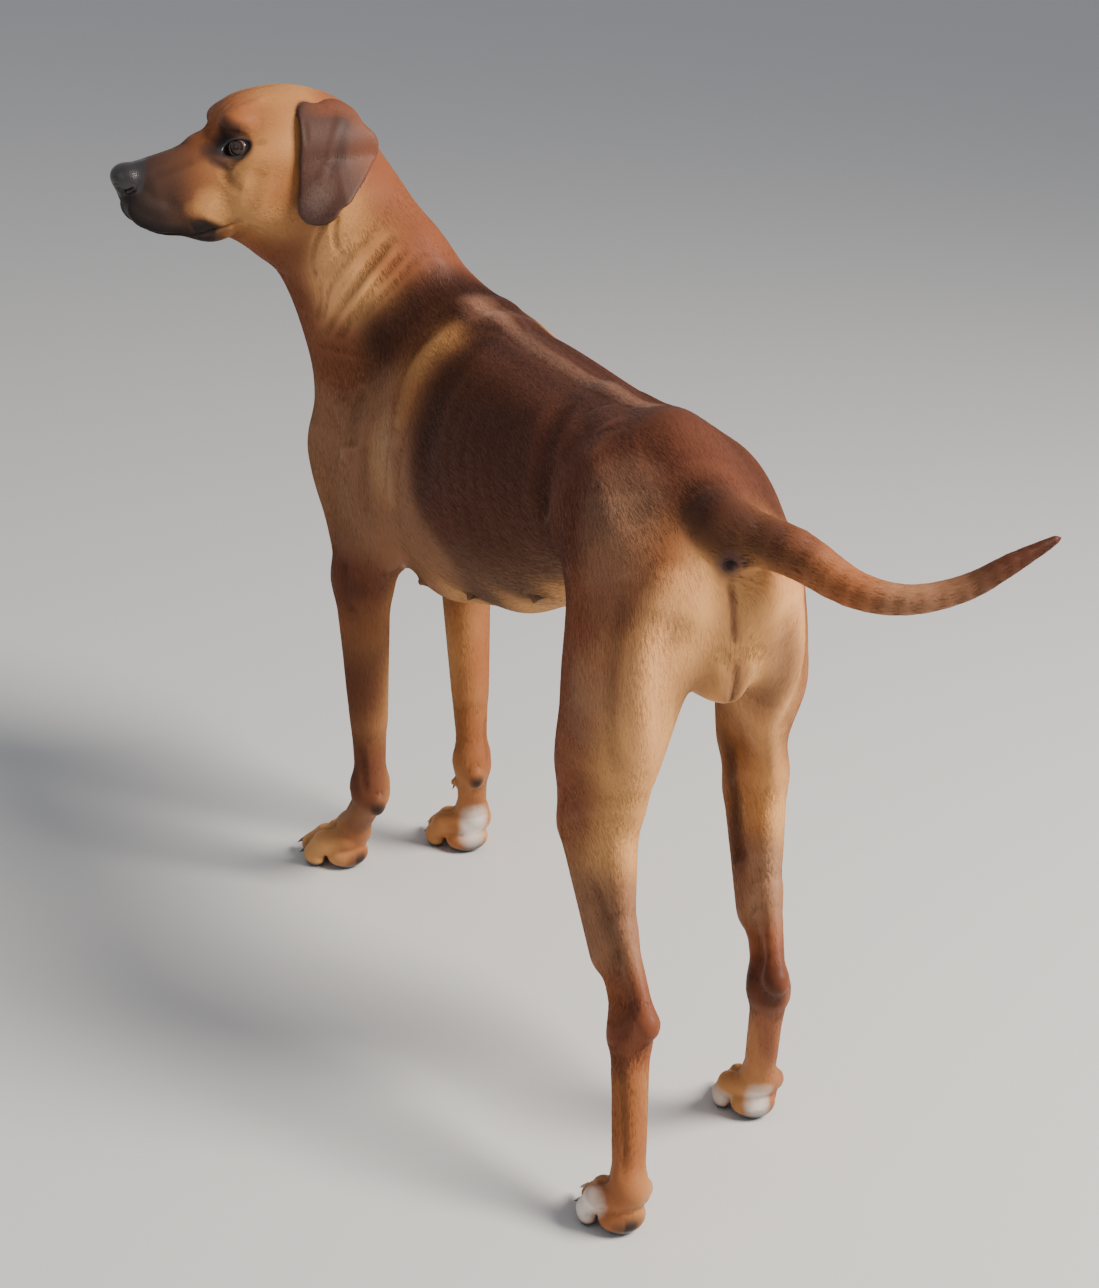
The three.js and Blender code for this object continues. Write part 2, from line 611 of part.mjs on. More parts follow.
// ---------------------------------------------------------------- the sub-parts
const TRUNK_CAST = {
  spine: [
    v(22, -285, 478), v(16, -165, 480), v(8, -40, 488),
    v(0, 90, 512), v(0, 220, 505), v(0, 300, 488),
  ],
  rings: 21, rays: 30, caps: 5,
};
const NECK_CAST = {
  spine: [v(52, -254, 580), NECK_MIDDLE, NECK_TOP, inHead(-98, 0, -18)],
  rings: 9, rays: 22, caps: 4,
};
const HEAD_CAST = {
  spine: [inHead(-78, 0, -14), inHead(-30, 0, -14), inHead(20, 0, -34), inHead(98, 0, -38)],
  rings: 18, rays: 26, caps: 5, side: LEFT, step: 3,
};
const TAIL_CAST = { spine: TAIL_LINE.slice(1), rings: 15, rays: 10, caps: 3, side: v(0, 0, 1), step: 1.5 };

function makeTrunk() {
  const walls = [before(TRUNK_TO_NECK)];
  const whole = trim(cast(within(flesh, walls), TRUNK_CAST), walls);
  return LEGS.reduce((left, leg) => left.subtract(column(leg, 0)), whole);
}

function makeNeck() {
  const walls = [after(TRUNK_TO_NECK), before(NECK_TO_HEAD)];
  return trim(cast(within(flesh, walls), NECK_CAST), walls);
}

function makeHead() {
  const walls = [after(NECK_TO_HEAD)];
  let head = trim(cast(within(flesh, walls), HEAD_CAST), walls);
  for (const side of [1, -1]) head = head.subtract(ball(eyeCentre(side), EYE_RADIUS + GAP));
  return head.subtract(noseBlock(GAP));
}

function makeNose() {
  return cast(within(flesh, [after(NECK_TO_HEAD)]), HEAD_CAST).intersect(noseBlock(0));
}

// The head and the upper neck, grown by the gap, that the ears are cut back to.
function headAndNeck() {
  const head = cast(within(flesh, [after(NECK_TO_HEAD)], GAP), HEAD_CAST);
  return head.add(cast(within(flesh, [after(TRUNK_TO_NECK), before(NECK_TO_HEAD)], GAP), NECK_CAST));
}

function makeTail() {
  const rump = cast(within(flesh, [before(TRUNK_TO_NECK)], GAP), TRUNK_CAST);
  return cast(wholeTail, TAIL_CAST).subtract(rump);
}

// An ear: rows of points from the fold to the tip, round the front edge, the outer face, the rear
// edge and the inner face.
function makeEar(side, skull) {
  const [rows, columns, top, bottom] = [11, 7, 43, -74];
  const flap = new Flap(side);
  const middle = (above) => THREE.MathUtils.mapLinear(above, top, bottom, -88, -55);
  const places = [];
  const put = (ahead, out, above) => {
    const point = inHead(ahead, side * out, above);
    places.push(point.x, point.y, point.z);
  };
  const edge = (above, sign) => {
    const inside = (reach) => flap.outline(middle(above) + sign * reach, above) < 0;
    return middle(above) + sign * reachOf(inside, 2);
  };
  const thickness = (ahead, above, sign) => {
    const base = flap.bow(ahead, above);
    const inside = (reach) => flap.distance(inHead(ahead, side * (base + sign * reach), above)) < 0;
    return base + sign * reachOf(inside, 0.5);
  };
  put(middle(top), flap.bow(middle(top), top), edgeAbove(flap, middle(top), 1));
  for (let row = 0; row <= rows; row += 1) {
    const above = THREE.MathUtils.lerp(top, bottom, row / rows);
    const [front, rear] = [edge(above, 1), edge(above, -1)];
    for (let place = 0; place < columns * 2; place += 1) {
      const turn = (place / columns) * Math.PI;
      const ahead = (front + rear) / 2 + Math.cos(turn) * (front - rear) / 2;
      const onEdge = place % columns === 0;
      const sign = place < columns ? 1 : -1;
      put(ahead, onEdge ? flap.bow(ahead, above) : thickness(ahead, above, sign), above);
    }
  }
  put(middle(bottom), flap.bow(middle(bottom), bottom), edgeAbove(flap, middle(bottom), -1));
  const faces = ringFaces(rows + 1, columns * 2);
  return solid(shell(places, side > 0 ? faces.reverse() : faces)).subtract(skull);
}

// The height of the ear's edge straight above or below a place on its sheet.
function edgeAbove(flap, ahead, sign) {
  const start = sign > 0 ? 40 : -60;
  return start + sign * reachOf((reach) => flap.outline(ahead, start + sign * reach) < 0, 1);
}

function legSpine({ hip, knee, hock, elbow, wrist, knuckle }, end) {
  const ankle = hock ?? wrist;
  const last = between(ankle, knuckle, (ankle.z - end) / (ankle.z - knuckle.z));
  if (elbow) return [shift(elbow, 0, -6, 0), between(elbow, wrist, 0.5), wrist, last];
  const thigh = shift(between(hip, knee, 0.5), 0, 14, 0);
  const shin = shift(between(knee, hock, 0.5), 0, 6, 0);
  return [thigh, shift(knee, 0, 18, 0), shin, hock, last];
}

// The height where a leg hands over to its paw.
function ankleOf({ joints }) {
  return parting(v(0, 0, joints.wrist ? WRIST_CUT : INSTEP_CUT), v(0, 0, -1));
}

function legCast(leg, grown = 0) {
  const ankle = ankleOf(leg);
  const spec = { spine: legSpine(leg.joints, ankle.point.z), rings: 17, rays: 14, caps: 3, step: 2 };
  return cast(within(flesh, [...columnWalls(leg), before(ankle)], grown), spec);
}

function makeLeg(leg) {
  return trim(legCast(leg).intersect(column(leg, GAP)), [before(ankleOf(leg))]);
}

function pawCast(leg, grown = 0) {
  const { knuckle, toe } = leg.joints;
  return burst(within(flesh, [after(ankleOf(leg))], grown), onPaw(knuckle, toe, 18, 0, 25), 4);
}

function makePaw(leg) {
  return trim(pawCast(leg), [after(ankleOf(leg)), before(FLOOR)]);
}

// A claw: a cone that leaves its toe forward and curves down.
function makeClaw(root, way, length, radius) {
  const geometry = new THREE.ConeGeometry(radius, length, 8, 3);
  geometry.translate(0, length / 2, 0);
  const places = geometry.getAttribute('position');
  for (let i = 0; i < places.count; i += 1) {
    const share = places.getY(i) / length;
    places.setZ(i, places.getZ(i) * 1.2 - CLAW_SAG * length * share * share);
  }
  const ahead = way.clone().normalize();
  const across = v(0, 0, 0).crossVectors(ahead, v(0, 0, 1)).normalize();
  const up = v(0, 0, 0).crossVectors(across, ahead);
  geometry.applyMatrix4(new THREE.Matrix4().makeBasis(across, ahead, up).setPosition(root));
  return solid(bare(geometry));
}

// ---------------------------------------------------------------- assembly
const COAT = { color: 0x9a5a32, roughness: 0.55 };
const EAR_COAT = { color: 0x5b3a2a, roughness: 0.6 };
const LEATHER = { color: 0x17130f, roughness: 0.35 };
const HORN = { color: 0x2a211b, roughness: 0.45 };
const EYE = { color: 0x2b160b, roughness: 0.08 };

const dog = new THREE.Group();

function place(name, body, look) {
  const { vertProperties, triVerts } = body.getMesh();
  const geometry = shell(vertProperties, Array.from(triVerts));
  geometry.computeVertexNormals();
  const mesh = new THREE.Mesh(geometry, new THREE.MeshStandardMaterial({ metalness: 0, ...look }));
  mesh.name = name;
  dog.add(mesh);
}

place('trunk', makeTrunk(), COAT);
place('neck', makeNeck(), COAT);
place('head', makeHead(), COAT);
place('nose', makeNose(), LEATHER);
place('tail', makeTail(), COAT);

const skull = headAndNeck();
for (const [word, side] of [['left', 1], ['right', -1]]) {
  place(`ear_${word}`, makeEar(side, skull), EAR_COAT);
  place(`eye_${word}`, ball(eyeCentre(side), EYE_RADIUS), EYE);
}

for (const leg of LEGS) {
  const [limb, word] = leg.name.split('_');
  const paw = limb === 'foreleg' ? `forepaw_${word}` : `hindpaw_${word}`;
  const scale = limb === 'foreleg' ? FOREPAW_SCALE : HINDPAW_SCALE;
  const { knuckle, toe, wrist, side } = leg.joints;
  place(leg.name, makeLeg(leg), COAT);
  place(paw, makePaw(leg), COAT);
  const foot = pawCast(leg, GAP);
  const dip = v(toe.x, toe.y, 0).normalize().setZ(-0.35);
  TOES.forEach(({ across, ahead }, i) => {
    const root = onPaw(knuckle, toe, ahead * scale - 1, across * scale, 20);
    const claw = makeClaw(root, dip, CLAW_LENGTH, CLAW_RADIUS * scale);
    place(`${paw}_claw_${i + 1}`, claw.subtract(foot), HORN);
  });
  if (!wrist) continue;
  const inner = shift(between(wrist, knuckle, 0.3), -side * 12, -2, 0);
  const pastern = legCast(leg, GAP);
  place(`dewclaw_${word}`, makeClaw(inner, v(-side * 0.35, -0.55, -0.75), 21, 4).subtract(pastern), HORN);
}

// Stand the dog on the floor, over the middle of its own outline.
const outline = new THREE.Box3().setFromObject(dog);
const middle = outline.getCenter(v(0, 0, 0));
dog.position.set(-middle.x, -middle.y, -outline.min.z);

export default dog;
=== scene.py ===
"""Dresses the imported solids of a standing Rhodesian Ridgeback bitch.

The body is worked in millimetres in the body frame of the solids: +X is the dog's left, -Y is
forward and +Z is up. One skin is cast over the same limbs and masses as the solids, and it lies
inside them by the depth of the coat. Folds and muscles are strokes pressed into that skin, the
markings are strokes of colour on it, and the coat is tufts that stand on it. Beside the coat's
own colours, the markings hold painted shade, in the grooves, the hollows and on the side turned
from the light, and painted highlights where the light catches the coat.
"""

import bmesh
import bpy
import numpy as np
from mathutils import Matrix, Vector
from mathutils.bvhtree import BVHTree


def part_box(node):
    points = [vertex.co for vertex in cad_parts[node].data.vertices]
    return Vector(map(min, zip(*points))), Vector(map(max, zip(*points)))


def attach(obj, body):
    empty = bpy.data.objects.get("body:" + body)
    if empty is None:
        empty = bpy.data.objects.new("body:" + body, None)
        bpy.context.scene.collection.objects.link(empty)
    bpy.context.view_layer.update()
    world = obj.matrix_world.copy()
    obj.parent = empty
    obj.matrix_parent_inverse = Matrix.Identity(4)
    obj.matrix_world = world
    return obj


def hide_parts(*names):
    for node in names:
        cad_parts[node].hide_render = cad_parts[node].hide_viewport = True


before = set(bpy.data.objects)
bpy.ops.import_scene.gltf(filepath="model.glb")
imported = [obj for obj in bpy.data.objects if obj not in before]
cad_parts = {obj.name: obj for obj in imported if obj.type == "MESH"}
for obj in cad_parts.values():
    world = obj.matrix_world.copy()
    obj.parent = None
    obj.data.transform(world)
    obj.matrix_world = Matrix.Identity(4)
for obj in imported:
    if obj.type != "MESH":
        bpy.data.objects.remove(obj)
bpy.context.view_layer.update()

# ---------------------------------------------------------------- driving values, millimetres
COAT_DEPTH = 1.0
EYE_RADIUS = 11.5
COARSE, FINE, FOOT = 3.0, 1.6, 2.0  # spacing of the cells that the skin is cast from
SEED = 7
BODY_LOW, BODY_HIGH = (-225, -440, -4), (340, 500, 805)  # the space that is cast
HEAD_FROM, HEAD_SIDE, FEET_TO = (95, -236, 632), -425, 70  # where the cells are finer
FAR = 60.0  # the field's value away from every form
MARGIN = 8  # how far past its blend a form is worked out
SOLE = 0.02  # the height of the soles above the floor


def v(*numbers):
    return np.array(numbers, float)


def unit(way):
    return np.asarray(way, float) / np.linalg.norm(way)


def straight(ways):
    return ways / np.maximum(np.linalg.norm(ways, axis=1), 1e-6)[:, None]


def ease(low, high, value):
    """0 below low, 1 above high, and smooth between them."""
    share = np.clip((value - low) / (high - low), 0, 1)
    return share * share * (3 - 2 * share)


def mixed(rows, other, share):
    """The rows with each one's share of the other."""
    return rows * (1 - share[:, None]) + other * share[:, None]


# ---------------------------------------------------------------- the head's own axes
def head_axes(yaw, pitch, roll):
    """Rows: forward, left and up. At zero yaw the head looks to the dog's left."""
    yaw, pitch, roll = np.radians((yaw, pitch, roll))
    forward = v(np.cos(yaw) * np.cos(pitch), np.sin(yaw) * np.cos(pitch), -np.sin(pitch))
    left = v(-np.sin(yaw), np.cos(yaw), 0)
    up = np.cross(forward, left)
    turned = np.cos(roll) * left + np.sin(roll) * up
    return np.stack([forward, turned, np.cross(forward, turned)])


HEAD_ORIGIN = v(213, -345, 741)
HEAD = head_axes(-1, 4, 1)
FORWARD, LEFT, UP = HEAD


def in_head(ahead, left, above):
    """A place in the head, as a place in the body."""
    return HEAD_ORIGIN + v(ahead, left, above) @ HEAD


def head_way(ahead, left, above):
    return v(ahead, left, above) @ HEAD


def in_head_axes(points):
    """How far ahead, left and above each point lies in the head."""
    return (points - HEAD_ORIGIN) @ HEAD.T


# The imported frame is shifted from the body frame, and an eye tells by how much.
EYE_PLACE = v(-4, 30.5, 0)
low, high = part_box("eye_left")
SHIFT = np.array((low + high) / 2) * 1000 - in_head(*EYE_PLACE)


def metres(points):
    return (np.asarray(points, float) + SHIFT) * 0.001


# ---------------------------------------------------------------- the implicit form
def melt(a, b, blend):
    """The nearer of two fields, rounded off where they meet."""
    h = np.maximum(blend - np.abs(a - b), 0) / blend
    return np.minimum(a, b) - h * h * blend * 0.25


class Limb:
    """A tapered limb with round ends. flat is a direction and how thin the limb is that way."""

    def __init__(self, start, end, radii, blend, flat=None):
        self.start, self.end = v(*start), v(*end)
        self.radii, self.blend = radii, blend
        self.normal, self.thin = (unit(flat[0]), flat[1]) if flat else (None, 1)
        self.low = np.minimum(self.start, self.end) - max(radii)
        self.high = np.maximum(self.start, self.end) + max(radii)
        self.axis = self.widen(self.end - self.start)

    def widen(self, way):
        if self.normal is None:
            return way
        return way + np.multiply.outer(way @ self.normal * (1 / self.thin - 1), self.normal)

    def distance(self, points):
        offset = self.widen(points - self.start)
        share = np.clip(offset @ self.axis / (self.axis @ self.axis), 0, 1)
        offset = offset - np.multiply.outer(share, self.axis)
        length = np.sqrt((offset * offset).sum(-1)) + 1e-6
        distance = length - (self.radii[0] + (self.radii[1] - self.radii[0]) * share)
        if self.normal is None:
            return distance
        cosine = offset @ self.normal / length
        return distance / np.sqrt(1 + (1 / self.thin**2 - 1) * cosine * cosine)


class Mass:
    """An ellipsoid, its sizes given along lie, then towards side, then square to both."""

    def __init__(self, centre, sizes, lie, blend, side=(1, 0, 0)):
        self.centre, self.sizes, self.blend = v(*centre), v(*sizes), blend
        x = unit(lie)
        lean = v(0, 0, 1) if abs(x @ unit(side)) > 0.95 else v(*side)
        y = unit(lean - x * (lean @ x))
        self.axes = np.stack([x, y, np.cross(x, y)])
        reach = np.sqrt(((self.axes * self.sizes[:, None]) ** 2).sum(0))
        self.low, self.high = self.centre - reach, self.centre + reach

    def distance(self, points):
        scaled = (points - self.centre) @ self.axes.T / self.sizes
        near = np.sqrt((scaled * scaled).sum(-1)) + 1e-6
        scaled = scaled / self.sizes
        return near * (near - 1) / (np.sqrt((scaled * scaled).sum(-1)) + 1e-9)


class Flap:
    """A hanging ear: a thin bowed sheet whose outline is melted round strips."""

    strips = (((-68, 28), (-59, -57), (14, 13)), ((-92, 18), (-66, -50), (26, 17)),
              ((-112, 0), (-84, -34), (21, 17)))
    fold, root_out, hang_out, thickness, thinning, blend = 46, 32, 34, 3.2, 0.3, 3
    push, front, ramp = 0.8, -38, 50  # how the turned neck pushes out the rear of the left ear

    def __init__(self, side):
        self.side = side
        corners = np.array([in_head(x, side * y, z) for x in (-142, -38) for y in (30, 104)
                            for z in (-76, 50)])
        self.low, self.high = corners.min(0), corners.max(0)

    def distance(self, points):
        place = in_head_axes(points)
        ahead, out, above = place[..., 0], place[..., 1] * self.side, place[..., 2]
        outline = np.full(ahead.shape, FAR)
        for top, bottom, radii in self.strips:
            run = v(*bottom) - v(*top)
            share = ((ahead - top[0]) * run[0] + (above - top[1]) * run[1]) / (run @ run)
            share = np.clip(share, 0, 1)
            away = np.hypot(ahead - top[0] - run[0] * share, above - top[1] - run[1] * share)
            outline = melt(outline, away - (radii[0] + (radii[1] - radii[0]) * share), 8)
        fall = np.clip((self.fold - above) / self.fold, 0, 1)
        bow = self.root_out + self.hang_out * fall * (2 - fall)
        pushed = self.push * (self.side > 0) * np.clip((self.front - ahead) / self.ramp, 0, 1)
        below = -10 - above
        bow = (bow + pushed * (below + np.hypot(below, 7)) / 2 - 0.12 * np.maximum(0, -ahead - 96)
               - 0.05 * np.maximum(0, -above))
        steep = np.hypot(1, 2 * self.hang_out * (1 - fall) / self.fold * (fall > 0))
        lean = np.hypot(pushed, self.push / self.ramp * below) * (pushed > 0) * (below > 0)
        steep = np.hypot(steep, lean)
        thick = self.thickness - self.thinning * np.clip(-above / 60, 0, 1)
        return -melt(thick - np.abs(out - bow) / steep, -outline, 3)


class Hollow:
    """A form that is cut out instead of added."""

    def __init__(self, form):
        self.form, self.blend, self.low, self.high = form, form.blend, form.low, form.high

    def cut(self, value, points):
        return -melt(-value, self.form.distance(points), self.blend)


def join(form, value, points):
    """The field after one more form, given the field before it."""
    if isinstance(form, Hollow):
        return form.cut(value, points)
    return melt(value, form.distance(points), form.blend)


# ---------------------------------------------------------------- the dog's forms
LEFT_FORE = dict(side=1, shoulder=v(98, -306, 445), elbow=v(104, -196, 342), wrist=v(91, -194, 116),
                 knuckle=v(88, -250, 46), toe=v(0.45, -0.89, 0))
RIGHT_FORE = dict(side=-1, shoulder=v(-60, -320, 448), elbow=v(-27, -262, 342),
                  wrist=v(-36, -234, 116), knuckle=v(-48, -255, 46), toe=v(0.2, -1, 0))
LEFT_HIND = dict(side=1, hip=v(64, 285, 500), knee=v(72, 278, 306), hock=v(79, 400, 158),
                 heel=v(76, 423, 173), knuckle=v(91, 448, 44), toe=v(0.05, -1, 0),
                 thigh=v(70, 308, 409), full=1)
RIGHT_HIND = dict(side=-1, hip=v(-52, 278, 500), knee=v(-87, 250, 306), hock=v(-68, 360, 158),
                  heel=v(-62, 383, 172), knuckle=v(-93, 322, 44), toe=v(-0.12, -1, 0),
                  thigh=v(-71, 292, 444), full=0.84)
FOREPAW_SCALE, HINDPAW_SCALE = 1, 0.85
GROOVE = ((0.15, 0.6, 50), (0.6, 0.95, 40), (1.1, 1, 24), (1.2, 1, 8))  # shares, then height
TOES = ((-26, 31), (-10.5, 50), (10.5, 50), (26, 31))  # across, then ahead of the knuckle
TAIL_LINE = ((0, 312, 556), (4, 345, 556), (-33, 385, 548), (-64, 424, 530),
             (-96, 452, 528), (-134, 470, 541), (-166, 480, 562), (-198, 488, 582))
TAIL_RADII = (24, 23, 20, 15.5, 12.5, 11, 9, 4.5)
TAIL_STEPS, TAIL_ROOT = 3, 4  # steps between two places, and steps melted into the rump
SIDES = (1, -1)
FORELEGS, HINDLEGS = (LEFT_FORE, RIGHT_FORE), (LEFT_HIND, RIGHT_HIND)
RIDGE_LINE = ((24, -150, 626), (18, -110, 622), (19, -28, 616), (14, 50, 612), (9, 134, 614),
              (5, 205, 616))


def of_leg(leg, names):
    """The leg's joints of those names."""
    return [leg[name] for name in names.split()]


def trunk_forms():
    forms = [
        Mass((16, -165, 474), (165, 92, 136), (0, -1, -0.08), 40),  # front of the ribcage
        Mass((8, -60, 490), (205, 102, 122), (0, -1, -0.06), 40),  # ribcage
        Mass((0, 90, 518), (205, 88, 77), (0, -1, -0.1), 36),  # loin and belly
        Mass((0, 255, 520), (115, 66, 74), (0, -1, 0.35), 40),  # pelvis
        Limb((14, -196, 594), (6, -110, 590), (22, 20), 34),  # spine
        Limb((6, -110, 590), (0, 120, 586), (18, 18), 34),
        Limb((0, 120, 586), (0, 225, 588), (18, 22), 34),
        Limb((0, 225, 586), (0, 330, 548), (24, 22), 34),
        Limb((24, -318, 440), (20, -150, 372), (36, 30), 34),  # breastbone
        Limb((20, -150, 372), (8, -20, 406), (28, 30), 36),
        Limb((8, -20, 406), (0, 130, 482), (30, 28), 32),  # belly line
        Mass((22, -292, 462), (66, 66, 44), (0, 0.2, -1), 40),  # front of the chest
        Mass((-4, 332, 462), (30, 38, 52), (0, 1, 0.1), 18),  # seat
        Mass((-6, 347, 434), (14, 14, 20), (0, 1, 0), 14),  # vulva
    ]
    for s in SIDES:
        forms += [
            Limb((s * 30 + 8, -130, 560), (s * 32, 215, 562), (30, 32), 26),
            Limb((s * 38, 215, 548), (s * 36, 325, 522), (38, 30), 26),
            Mass((s * 56, 225, 530), (56, 30, 44), (0, -0.8, -0.35), 30),
            Mass((22 + s * 36, -300, 418), (60, 36, 48), (0, 0.25, -1), 34),
            Mass((20 + s * 42, -235, 384), (60, 26, 30), (0, 1, 0.1), 24),
        ]
    return forms


def foreleg_forms(side, shoulder, elbow, wrist, knuckle, toe):
    s = side
    withers = v(10 + s * 24, -172, 588)
    blade = (s, 0.1, 0.25)
    down = wrist - elbow
    up = unit(-down)
    return [
        Limb(withers, shoulder + v(-s * 4, 14, 0), (30, 40), 32, (blade, 0.5)),
        Limb(withers + v(s * 12, 44, -34), shoulder + v(-s * 6, 66, 20), (28, 36), 26,
             (blade, 0.55)),
        Limb(shoulder, elbow + v(0, -18, 14), (37, 32), 32, ((s, 0, 0.1), 0.85)),
        Mass((shoulder + elbow) / 2 + v(-s * 2, 50, 46), (88, 30, 46), (0, 0.42, -0.9), 28),
        Limb(elbow + v(0, -3, 22), elbow + v(0, -6, -6), (27, 26), 18),
        Mass(elbow + v(0, 13, 8), (22, 13, 13), (0, 0.2, 1), 12),
        Limb(elbow + v(s * 2, -13, -6), wrist + up * 14, (28, 16.5), 16),
        Limb(elbow + v(0, 2, -20), elbow + down * 0.66 + v(0, 3, 0), (20, 13), 14),
        Mass(wrist, (24, 20, 19), up, 12),
        Mass(wrist + v(-s * 2, 17, -13), (13, 9, 9), (0, 0.3, 1), 6),  # carpal pad
        Limb(wrist - up * 10, knuckle, (17, 16), 12, ((0, 1, 0.2), 0.9)),
        Limb(wrist * 0.7 + knuckle * 0.3 + v(-s * 10, -2, 0),
             wrist * 0.7 + knuckle * 0.3 + v(-s * 16, -9, -9), (6, 5.2), 4),  # dewclaw's toe
        *paw_forms(knuckle, toe, FOREPAW_SCALE),
    ]


def hindleg_forms(side, hip, knee, hock, heel, knuckle, toe, thigh, full):
    s = side
    seat = v(s * 41 + 3, 344, 502)
    ham, out = (s, 0.2, 0), (s, 0, 0)
    shin = knee - hock
    return [
        Limb(hip + v(0, -14, 0), knee + v(0, 0, 40), (54, 35), 28, ((s, 0, 0.1), 0.62)),
        Limb(seat + v(s * 8, -38, -10), knee + v(0, 38 * full, 50), (44, 23 * full), 28,
             (ham, 0.66)),
        Limb(seat + v(-s * 4, -8, -12), knee + v(-s * 6, 60 * full, 24), (30 * full, 12), 26,
             (ham, 0.75)),
        Mass(thigh, (92 * full, 31 * full, 56 * full), knee - hip, 28),
        Mass(knee + v(0, -6 * full, 30), (44, 24 * full, 24 * full), (0, -0.1, 1), 22),
        Limb(knee + v(s * 2, 4, -22), hock + shin * 0.3 + v(0, -13, 0), (27 * full, 20 * full), 24,
             (out, 0.85)),
        Limb(knee + v(0, 42 * full, 4), hock + shin * 0.42 + v(0, 18, 6), (29 * full, 14), 24,
             (out, 0.8)),
        Limb(hock + shin * 0.5, hock, (15, 14), 12, (out, 0.9)),
        Limb(hock + shin * 0.42 + v(0, 22, 12), heel + v(0, 0, 4), (10, 9), 10),
        Limb(heel, hock + v(0, 12, 0), (13, 13), 10, (out, 0.85)),
        Limb(hock + v(0, 5, 20), hock + v(0, -17, 54), (6.5, 6.5), 6),  # the web before the tendon
        Mass(hock, (22, 17, 20), (0, 0, 1), 10),
        Limb(hock + v(0, 6, -8), knuckle, (17, 15), 10, (out, 0.95)),
        *paw_forms(knuckle, toe, HINDPAW_SCALE),
    ]


def on_paw(knuckle, toe, ahead, across, height):
    """A place ahead of the knuckle and across from it, at a height above the floor."""
    way = unit(toe)
    return v(knuckle[0] + way[0] * ahead - way[1] * across,
             knuckle[1] + way[1] * ahead + way[0] * across, height)


def paw_forms(knuckle, toe, scale):
    way = unit(toe)
    left = v(-way[1], way[0], 0)
    forms = [
        Limb(knuckle, on_paw(knuckle, toe, 14, 0, 28), (19 * scale, 20 * scale), 10),
        Mass(on_paw(knuckle, toe, 6, 0, 14.5), (20 * scale, 25 * scale, 16), way, 8, left),
    ]
    for across, ahead in TOES:
        out, reach = across * scale, ahead * scale
        root = on_paw(knuckle, toe, 2, out * 0.45, 36)
        joint = on_paw(knuckle, toe, reach * 0.58, out * 0.9, 30)
        tip = on_paw(knuckle, toe, reach, out, 14)
        forms += [
            Limb(root, joint, (14 * scale, 12.5 * scale), 4),
            Limb(joint, tip, (12.5 * scale, 11 * scale), 4),
            Mass(on_paw(knuckle, toe, reach - 2, out, 8), (12 * scale, 9.5 * scale, 9.5), way, 3,
                 left),
        ]
    return forms


def neck_forms():
    base, middle, top = v(20, -228, 530), v(74, -270, 612), v(106, -306, 670)
    forms = [
        Limb(base, middle, (82, 64), 40, ((1, 0, 0), 0.85)),
        Limb(middle, top, (64, 57), 36),
        Limb(top, in_head(-86, 0, -16), (56, 48), 26, ((0.3, 1, 0), 0.86)),
        Limb((12, -180, 586), (58, -246, 649), (30, 27), 34),  # crest
        Limb((58, -246, 649), in_head(-106, 0, 1), (27, 26), 30),
        Limb((26, -304, 470), (92, -320, 600), (40, 36), 40),  # throat
        Limb((100, -324, 600), in_head(-46, 0, -80), (37, 26), 34),
    ]
    return forms + [Limb((22 + s * 68, -284, 480), (80 + s * 34, -292, 618), (40, 32), 36)
                    for s in SIDES]


def head_forms():
    forms = [
        Mass(in_head(-56, 0, 8), (64, 54, 47), head_way(1, 0, 0.1), 18, LEFT),  # skull
        Mass(in_head(-14, 0, 18), (32, 36, 27), FORWARD, 18, LEFT),  # forehead
        Mass(in_head(20, 0, 4), (20, 15, 10), FORWARD, 16, LEFT),  # stop
        Limb(in_head(-92, 0, 18), in_head(-108, 0, 6), (20, 18), 14),
        Limb(in_head(14, 0, -32), in_head(84, 0, -38), (36, 27), 16, (LEFT, 0.8)),  # muzzle
        Limb(in_head(26, 0, -11), in_head(98, 0, -28), (17, 12), 12),  # bridge
        Limb(in_head(100, 5, -27), in_head(100, -5, -27), (13, 13), 6),  # nose
        Mass(in_head(104, 0, -24), (13, 14, 12), FORWARD, 6, LEFT),
        *[Hollow(Mass(in_head(114, s * 8.5, -34), (7, 3.2, 4.2), FORWARD, 1.2, LEFT))
          for s in SIDES],  # nostrils
        Limb(in_head(-44, 0, -60), in_head(88, 0, -60), (30, 13), 12, (UP, 0.85)),  # lower jaw
        Limb(in_head(0, 0, -66), in_head(-36, 0, -86), (21, 25), 22),  # throat latch
    ]
    for s in SIDES:
        forms += [
            Mass(in_head(64, s * 17, -58), (42, 13, 24), head_way(1, 0, 0.12), 10, LEFT),  # flews
            Mass(in_head(26, s * 21, -70), (26, 12, 20), FORWARD, 14, LEFT),  # lip corner
            Mass(in_head(-34, s * 42, -34), (46, 19, 42), FORWARD, 24, LEFT),  # cheek
            Mass(in_head(22, s * 25, -42), (34, 13, 24), FORWARD, 18, LEFT),
            Mass(in_head(-32, s * 46, -6), (29, 11, 12), head_way(1, 0, -0.1), 16,
                 LEFT),  # cheekbone
            Mass(in_head(-3, s * 28, 24), (16, 13, 11), FORWARD, 12, LEFT),  # brow
            Limb(in_head(8, s * 25, -14), in_head(74, s * 14, -32), (15, 11), 14),
        ]
    return forms


def eye_centre(side):
    return in_head(EYE_PLACE[0], side * EYE_PLACE[1], EYE_PLACE[2])


def slit_centre(side):
    """The middle of the slit between the lids."""
    return eye_centre(side) + eye_look(side) * 10 - UP * 0.4


def eye_look(side):
    return unit(head_way(0.62, side * 0.75, 0.2))


def lid_line(side):
    """The way from the eye's outer corner to its inner one."""
    look = eye_look(side)
    way = head_way(0.75, -side * 0.62, -0.22)
    return unit(way - look * (way @ look))


